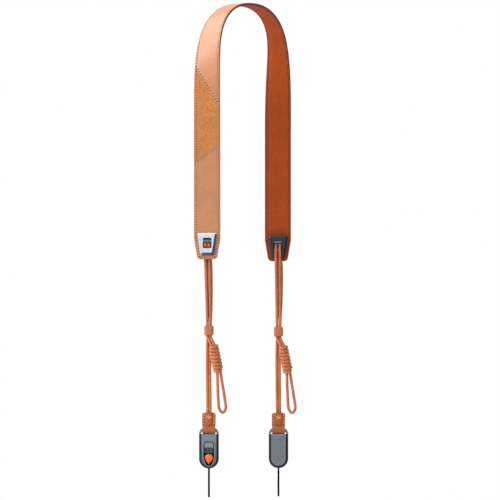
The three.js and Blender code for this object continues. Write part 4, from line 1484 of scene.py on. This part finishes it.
def pill_outline(inset):
    """Outline of a housing: round at the bottom, round-cornered at the top."""
    half, corner = HOUSING_HALF - inset, HOUSING_CORNER - inset
    turns = ((0, HOUSING_HALF - HOUSING_HEIGHT, half, -180, 0, 36),
             (half - corner, -HOUSING_CORNER, corner, 0, 90, 12),
             (corner - half, -HOUSING_CORNER, corner, 90, 180, 12))
    points = []
    for x, z, radius, start, end, count in turns:
        for i in range(count + 1):
            angle = math.radians(start + (end - start) * i / count)
            points.append(Vector((x + radius * math.cos(angle), 0, z + radius * math.sin(angle))))
    return points


def pocket_outline(shrink):
    """Outline of a housing's front pocket, narrowed on every side by the same amount."""
    half, corner = POCKET_HALF - shrink, POCKET_CORNER - shrink
    top, tip = -POCKET_TOP - shrink, POCKET_TIP - 0.6 * shrink
    low = 1.4 * shrink - POCKET_BOTTOM
    parts = 10
    curve = []
    for i in range(parts + 1):
        t = i / parts
        x = tip * (1 - t) ** 2 + half * 2 * t * (1 - t) + half * t ** 2
        z = low * (1 - t) ** 2 - (POCKET_SHOULDER + POCKET_BEND) * 2 * t * (1 - t) - POCKET_SHOULDER * t ** 2
        curve.append((x, z))
    for i in range(parts + 1):
        angle = math.radians(90 * i / parts)
        curve.append((half - corner + corner * math.cos(angle), top - corner + corner * math.sin(angle)))
    return [Vector((x, 0, z)) for x, z in curve] + [Vector((-x, 0, z)) for x, z in reversed(curve)]


def prism(bm, outline, start, end):
    """Extrudes a flat outline in X and Z from one depth to another."""
    verts = [bm.verts.new(point + Vector((0, start, 0))) for point in outline]
    face = bm.faces.new(verts)
    result = bmesh.ops.extrude_face_region(bm, geom=[face])["geom"]
    bmesh.ops.translate(bm, verts=of_kind(result, bmesh.types.BMVert), vec=(0, end - start, 0))
    bmesh.ops.recalc_face_normals(bm, faces=bm.faces)
    return bm


def box_outline(low, high, half):
    """Rectangle in X and Z, centred on X."""
    return [Vector((x, 0, z)) for x, z in ((-half, low), (half, low), (half, high), (-half, high))]


def shifted(points, x=0.0, z=0.0):
    """An outline moved in X and Z."""
    return [point + Vector((x, 0, z)) for point in points]


def carve(bm, cutters):
    """Cuts closed shapes out of a bmesh and gives the result back as a new one."""
    def stand_in(shape, name):
        mesh = bpy.data.meshes.new(name)
        shape.to_mesh(mesh)
        shape.free()
        thing = bpy.data.objects.new(name, mesh)
        bpy.context.collection.objects.link(thing)
        return thing

    body = stand_in(bm, "uncut")
    others = [stand_in(shape, "cutter") for shape in cutters]
    for other in others:
        cut = body.modifiers.new("Cut", "BOOLEAN")
        cut.operation = "DIFFERENCE"
        cut.solver = "EXACT"
        cut.object = other
    done = bmesh.new()
    done.from_mesh(body.evaluated_get(bpy.context.evaluated_depsgraph_get()).to_mesh())
    for thing in [body, *others]:
        mesh = thing.data
        bpy.data.objects.remove(thing)
        bpy.data.meshes.remove(mesh)
    bmesh.ops.remove_doubles(done, verts=done.verts, dist=0.002)
    bmesh.ops.dissolve_limit(done, angle_limit=math.radians(0.5), verts=done.verts, edges=done.edges)
    return done


def housing_shape():
    """The whole housing front-on, its top at z = 0: body, bar, slot, pocket and outlet."""
    front = -HOUSING_DEPTH / 2
    bm = prism(bmesh.new(), pill_outline(0), front, -front)
    rims = []
    for edge in bm.edges:
        start, end = (vert.co.y for vert in edge.verts)
        if edge.calc_face_angle(0) > 1 and abs(start + end) > 1 and abs(start - end) < 0.01:
            rims.append(edge)
    bmesh.ops.bevel(bm, geom=rims, offset=HOUSING_EDGE, offset_type="OFFSET", affect="EDGES", segments=4,
                    profile=0.5, material=-1)
    cutters = []
    for way in (-1, 1):
        near, far = sorted((way * BAR_DEPTH / 2, way * (HOUSING_DEPTH / 2 + 2)))
        cutters.append(prism(bmesh.new(), box_outline(SLOT_LOW, 2, HOUSING_HALF + 1), near, far))
    slot = rounded_section(2 * SLOT_HALF, -SLOT_LOW - BAR_HEIGHT, 0.8, 4)
    slot = shifted(slot, z=(SLOT_LOW - BAR_HEIGHT) / 2)
    cutters.append(prism(bmesh.new(), slot, -HOUSING_DEPTH, HOUSING_DEPTH))
    cutters.append(prism(bmesh.new(), pocket_outline(0), front - 1, front + POCKET_DEPTH))
    outlet = box_outline(-HOUSING_HEIGHT - 2, ANCHOR_LOW, ANCHOR_CORD / 2 + GAP)
    start = OUTLET_MIDDLE - OUTLET_DEPTH / 2
    cutters.append(prism(bmesh.new(), outlet, start, start + OUTLET_DEPTH))
    return carve(bm, cutters)


class STRAP_OT_housings(bpy.types.Operator):
    """Make the grey quick-release housings and their back panels"""

    bl_idname = "strap.housings"
    bl_label = "Housings"

    def execute(self, context):
        for leg in LEGS:
            bm = housing_shape()
            for face in bm.faces:
                face.material_index = self.finish_index(face)
            put_in_place(bm, leg)
            piece = new_piece(f"{leg.name}_release_housing", bm, "housing_grain",
                              replaces=[f"{leg.name}_housing"], more=["housing_rim", "housing_inside"])
            add_bevel(piece, 0.28, 2, 35)
            crease(piece, 35)
            self.back_panel(leg)
            self.pocket_rim(leg)
        return {"FINISHED"}

    def finish_index(self, face):
        """The number of a face's finish: 0 on flat faces and sides, 1 on the rim, painted dark as shade, 2
        inside the pocket, painted darker still as shade.
        """
        middle = face.calc_center_median()
        front = -HOUSING_DEPTH / 2
        inside = abs(middle.x) < POCKET_HALF + 0.05 and -POCKET_BOTTOM - 0.1 < middle.z < -POCKET_TOP + 0.1
        if inside and front + 0.2 < middle.y < -front - 0.2:
            return 2
        return 1 if 0.1 < abs(face.normal.y) < 0.995 else 0

    def pocket_rim(self, leg):
        """Raised lip round the front pocket, painted lighter as a highlight."""
        points = [point + Vector((0, -HOUSING_DEPTH / 2, 0)) for point in pocket_outline(-0.5)]
        frames = []
        for before, point, after in zip(points[-1:] + points, points, points[1:] + points[:1]):
            along = (after - before).normalized()
            frames.append(axes_at(along.cross(Vector((0, 1, 0))).normalized(), along, point))
        bm = bmesh.new()
        sweep(bm, ellipse(0.42, 0.22, 8), frames, closed=True)
        put_in_place(bm, leg)
        new_piece(f"{leg.name}_pocket_lip", bm, "pocket_rim")

    def back_panel(self, leg):
        """Raised panel on the back, below the bar and the slot."""
        half = HOUSING_HALF - PANEL_INSET
        outline = [point for point in pill_outline(PANEL_INSET) if point.z < PANEL_TOP]
        outline = [Vector((-half, 0, PANEL_TOP)), *outline, Vector((half, 0, PANEL_TOP))]
        bm = prism(bmesh.new(), outline, HOUSING_DEPTH / 2 - 0.3, HOUSING_DEPTH / 2 + 0.35)
        bmesh.ops.remove_doubles(bm, verts=bm.verts, dist=0.01)
        put_in_place(bm, leg)
        piece = new_piece(f"{leg.name}_back_panel", bm, "panel_grain")
        add_bevel(piece, 0.25, 2, 50)
        crease(piece, 40)


class STRAP_OT_buttons(bpy.types.Operator):
    """Make the dotted release buttons with their thumb dish"""

    bl_idname = "strap.buttons"
    bl_label = "Buttons"

    def execute(self, context):
        front = BUTTON_SINK - HOUSING_DEPTH / 2
        low = -POCKET_TOP - GAP - BUTTON_HEIGHT
        play = GAP + 0.5
        half = POCKET_HALF - play
        for leg in LEGS:
            outline = [point for point in pocket_outline(play) if point.z > low]
            outline = [Vector((half, 0, low)), *outline, Vector((-half, 0, low))]
            bm = prism(bmesh.new(), outline, front, front + BUTTON_DEPTH)
            bmesh.ops.remove_doubles(bm, verts=bm.verts, dist=0.01)
            dish = bmesh.new()
            turn = Matrix.Translation((0, front + 0.9 - DISH_RADIUS, low + 2.6))
            turn = turn @ Matrix.Rotation(math.pi / 2, 4, "Y")
            bmesh.ops.create_cone(dish, cap_ends=True, segments=64, radius1=DISH_RADIUS, radius2=DISH_RADIUS,
                                  depth=14, matrix=turn)
            bm = carve(bm, [dish])
            # The faces of the thumb dish get the dark finish as painted shade in its hollow
            for face in bm.faces:
                if -0.999 < face.normal.y < -0.3 and abs(face.normal.x) < 0.3:
                    face.material_index = 1
            put_in_place(bm, leg)
            body = f"{leg.name}_button"
            piece = new_piece(f"{leg.name}_dotted_button", bm, "button_dots", body=body,
                              replaces=[body], more=["button_dish"])
            add_bevel(piece, 0.3, 3, 40)
            crease(piece, 35)
        return {"FINISHED"}


class STRAP_OT_anchors(bpy.types.Operator):
    """Make the orange teardrop anchors held in the housings"""

    bl_idname = "strap.anchors"
    bl_label = "Anchors"

    def execute(self, context):
        front = ANCHOR_SINK - HOUSING_DEPTH / 2
        widest = POCKET_HALF - GAP - 0.4
        middle = -POCKET_TOP - GAP - BUTTON_HEIGHT - ANCHOR_GAP - 0.85 * widest
        reach = middle - ANCHOR_LOW
        section = []
        for i in range(40):
            x, z = math.cos(2 * math.pi * i / 40), math.sin(2 * math.pi * i / 40)
            narrow = 1 - 0.7 * max(0, -z) ** 1.5
            at_foot = z < 0 and abs(x) <= 0.02
            section.append(Vector((0 if at_foot else x * widest * narrow, 0,
                                   z * (0.85 * widest if z >= 0 else reach))))
        frames = [Matrix.Translation((0, front + depth * ANCHOR_DEPTH, middle))
                  @ Matrix.Diagonal((scale, 1, scale, 1)) for scale, depth in ANCHOR_PROFILE]
        for leg in LEGS:
            bm = bmesh.new()
            sweep(bm, section, frames)
            put_in_place(bm, leg)
            piece = new_piece(f"{leg.name}_orange_anchor", bm, "anchor_gloss",
                              replaces=[f"{leg.name}_anchor"])
            crease(piece, 60)
        return {"FINISHED"}


def anchor_cord_route():
    """Points of an anchor's cord in the housing's own place: down, round the bottom and up again."""
    start = ANCHOR_LOW - GAP
    low = ANCHOR_CORD / 2 - HOUSING_HEIGHT - ANCHOR_DROP
    rows = ((0, 0), (0.06, 0), (0.14, 0), (0.36, 0.35), (0.6, 0.85), (0.82, 1), (0.94, 0.72))

    def strand(side):
        near, far = ANCHOR_PITCH / 2, ANCHOR_SPREAD
        return [Vector((0, OUTLET_MIDDLE + side * (near + (far - near) * out), start + (low - start) * share))
                for share, out in rows]

    return [*strand(-1), Vector((0, OUTLET_MIDDLE, low)), *reversed(strand(1))]


class STRAP_OT_anchor_cords(bpy.types.Operator):
    """Make the thin black cord that hangs from each anchor"""

    bl_idname = "strap.anchor_cords"
    bl_label = "Anchor cords"

    def execute(self, context):
        for leg in LEGS:
            home = housing_home(leg)
            line = [home @ point for point in catmull(anchor_cord_route(), 0.7)]
            piece = tube_piece(f"{leg.name}_black_loop", line, ANCHOR_CORD, "black_braid",
                               [f"{leg.name}_anchor_cord"])
            path = metres(line)
            round(line_length(line) * MM, 3)
        return {"FINISHED"}


# Stage: each light's name, place, size, power and colour, and the view's distance, height and middle

LIGHTS = (("key", (-2.2, -1.5, 1.5), 1.2, 48, (1.0, 0.98, 0.95)),
          ("side", (-2.3, 0.5, 1.9), 2.0, 44, (1, 1, 1)),
          ("front", (0.4, -3.0, 0.0), 1.8, 5, (1, 1, 1)),
          ("top", (0.3, 0.2, 1.8), 1.2, 9, (1, 1, 1)),
          ("back", (0.8, 2.6, 0.8), 1.6, 15, (1, 1, 1)))
VIEW_DISTANCE = 5.0
VIEW_HEIGHT = 0.525
VIEW_X = 0.0075
VIEW_Z = -0.2565
FLOOR_Z = -800
FLOOR_RADIUS = 2200


class STRAP_OT_stage(bpy.types.Operator):
    """Make the pale floor, the studio light and the camera"""

    bl_idname = "strap.stage"
    bl_label = "Stage"

    def execute(self, context):
        bm = bmesh.new()
        bmesh.ops.create_circle(bm, cap_ends=True, segments=96, radius=FLOOR_RADIUS,
                                matrix=Matrix.Translation((0, 0, FLOOR_Z)))
        bmesh.ops.scale(bm, vec=(MM, MM, MM), verts=bm.verts)
        mesh = bpy.data.meshes.new("floor")
        bm.to_mesh(mesh)
        bm.free()
        mesh.materials.append(finish_of("pale_floor"))
        floor = bpy.data.objects.new("floor", mesh)
        floor.visible_glossy = False
        context.collection.objects.link(floor)
        self.camera(context)
        self.world(context)
        context.scene.view_settings.view_transform = "Standard"
        middle = Vector((0, 0, -0.25))
        for name, place, size, power, colour in LIGHTS:
            light = bpy.data.lights.new(name, "AREA")
            light.size = size
            light.energy = power
            light.color = colour
            lamp = bpy.data.objects.new(name, light)
            lamp.location = place
            lamp.rotation_euler = (middle - Vector(place)).to_track_quat("-Z", "Y").to_euler()
            context.collection.objects.link(lamp)
        return {"FINISHED"}

    def camera(self, context):
        data = bpy.data.cameras.new("camera")
        data.angle = 2 * math.atan(VIEW_HEIGHT / 2 / VIEW_DISTANCE)
        data.clip_end = 50
        camera = bpy.data.objects.new("camera", data)
        camera.location = (VIEW_X, -VIEW_DISTANCE, VIEW_Z)
        camera.rotation_euler = (math.pi / 2, 0, 0)
        context.collection.objects.link(camera)
        context.scene.camera = camera

    def world(self, context):
        """White to the eye, and a studio to the light: bright above and to the left, dark below."""
        world = bpy.data.worlds.new("studio")
        world.use_nodes = True
        room = Nodes(world.node_tree)
        x, _, z = room.parts(room.node("ShaderNodeTexCoord", output="Generated"))
        stops = ((0.0, (0.025, 0.03, 0.06)), (0.95, (1, 1, 1)))
        colour = room.node("ShaderNodeValToRGB", {"stops": stops}, [z * 0.5 + 0.4 - x * 0.42])
        glow = room.node("ShaderNodeBackground", {}, {"Color": colour, "Strength": 1.0})
        white = room.node("ShaderNodeBackground", {}, {"Color": (1, 1, 1), "Strength": 1.0})
        seen = room.node("ShaderNodeLightPath", output="Is Camera Ray")
        room.node("ShaderNodeOutputWorld", {}, [room.node("ShaderNodeMixShader", {}, [seen, glow, white])])
        context.scene.world = world


class STRAP_PT_panel(bpy.types.Panel):
    """Lists the strap's pieces, sizes and colours"""

    bl_idname = "STRAP_PT_panel"
    bl_label = "Camera Neck Strap"
    bl_space_type = "VIEW_3D"
    bl_region_type = "UI"
    bl_category = "Neck Strap"

    def draw(self, context):
        for operator in OPERATORS:
            self.layout.operator(operator.bl_idname)
        for group in (context.scene.strap_sizes, context.scene.strap_colours):
            box = self.layout.box()
            for name in group.__annotations__:
                box.prop(group, name)


OPERATORS = (STRAP_OT_stage, STRAP_OT_knots, STRAP_OT_sleeves, STRAP_OT_cords, STRAP_OT_anchor_cords,
             STRAP_OT_band, STRAP_OT_edges, STRAP_OT_sewing, STRAP_OT_plates, STRAP_OT_tabs,
             STRAP_OT_housings, STRAP_OT_buttons, STRAP_OT_anchors)
CLASSES = (StrapSizes, StrapColours, *OPERATORS, STRAP_PT_panel)


def register():
    for cls in CLASSES:
        bpy.utils.register_class(cls)
    bpy.types.Scene.strap_sizes = bpy.props.PointerProperty(type=StrapSizes)
    bpy.types.Scene.strap_colours = bpy.props.PointerProperty(type=StrapColours)


def unregister():
    del bpy.types.Scene.strap_colours
    del bpy.types.Scene.strap_sizes
    for cls in reversed(CLASSES):
        bpy.utils.unregister_class(cls)


def main():
    register()
    bpy.ops.strap.stage()
    bpy.ops.strap.knots()
    bpy.ops.strap.sleeves()
    bpy.ops.strap.cords()
    bpy.ops.strap.anchor_cords()
    bpy.ops.strap.band()
    bpy.ops.strap.edges()
    bpy.ops.strap.sewing()
    bpy.ops.strap.plates()
    bpy.ops.strap.tabs()
    bpy.ops.strap.housings()
    bpy.ops.strap.buttons()
    bpy.ops.strap.anchors()
    bpy.context.view_layer.update()


if __name__ == "__main__":
    main()
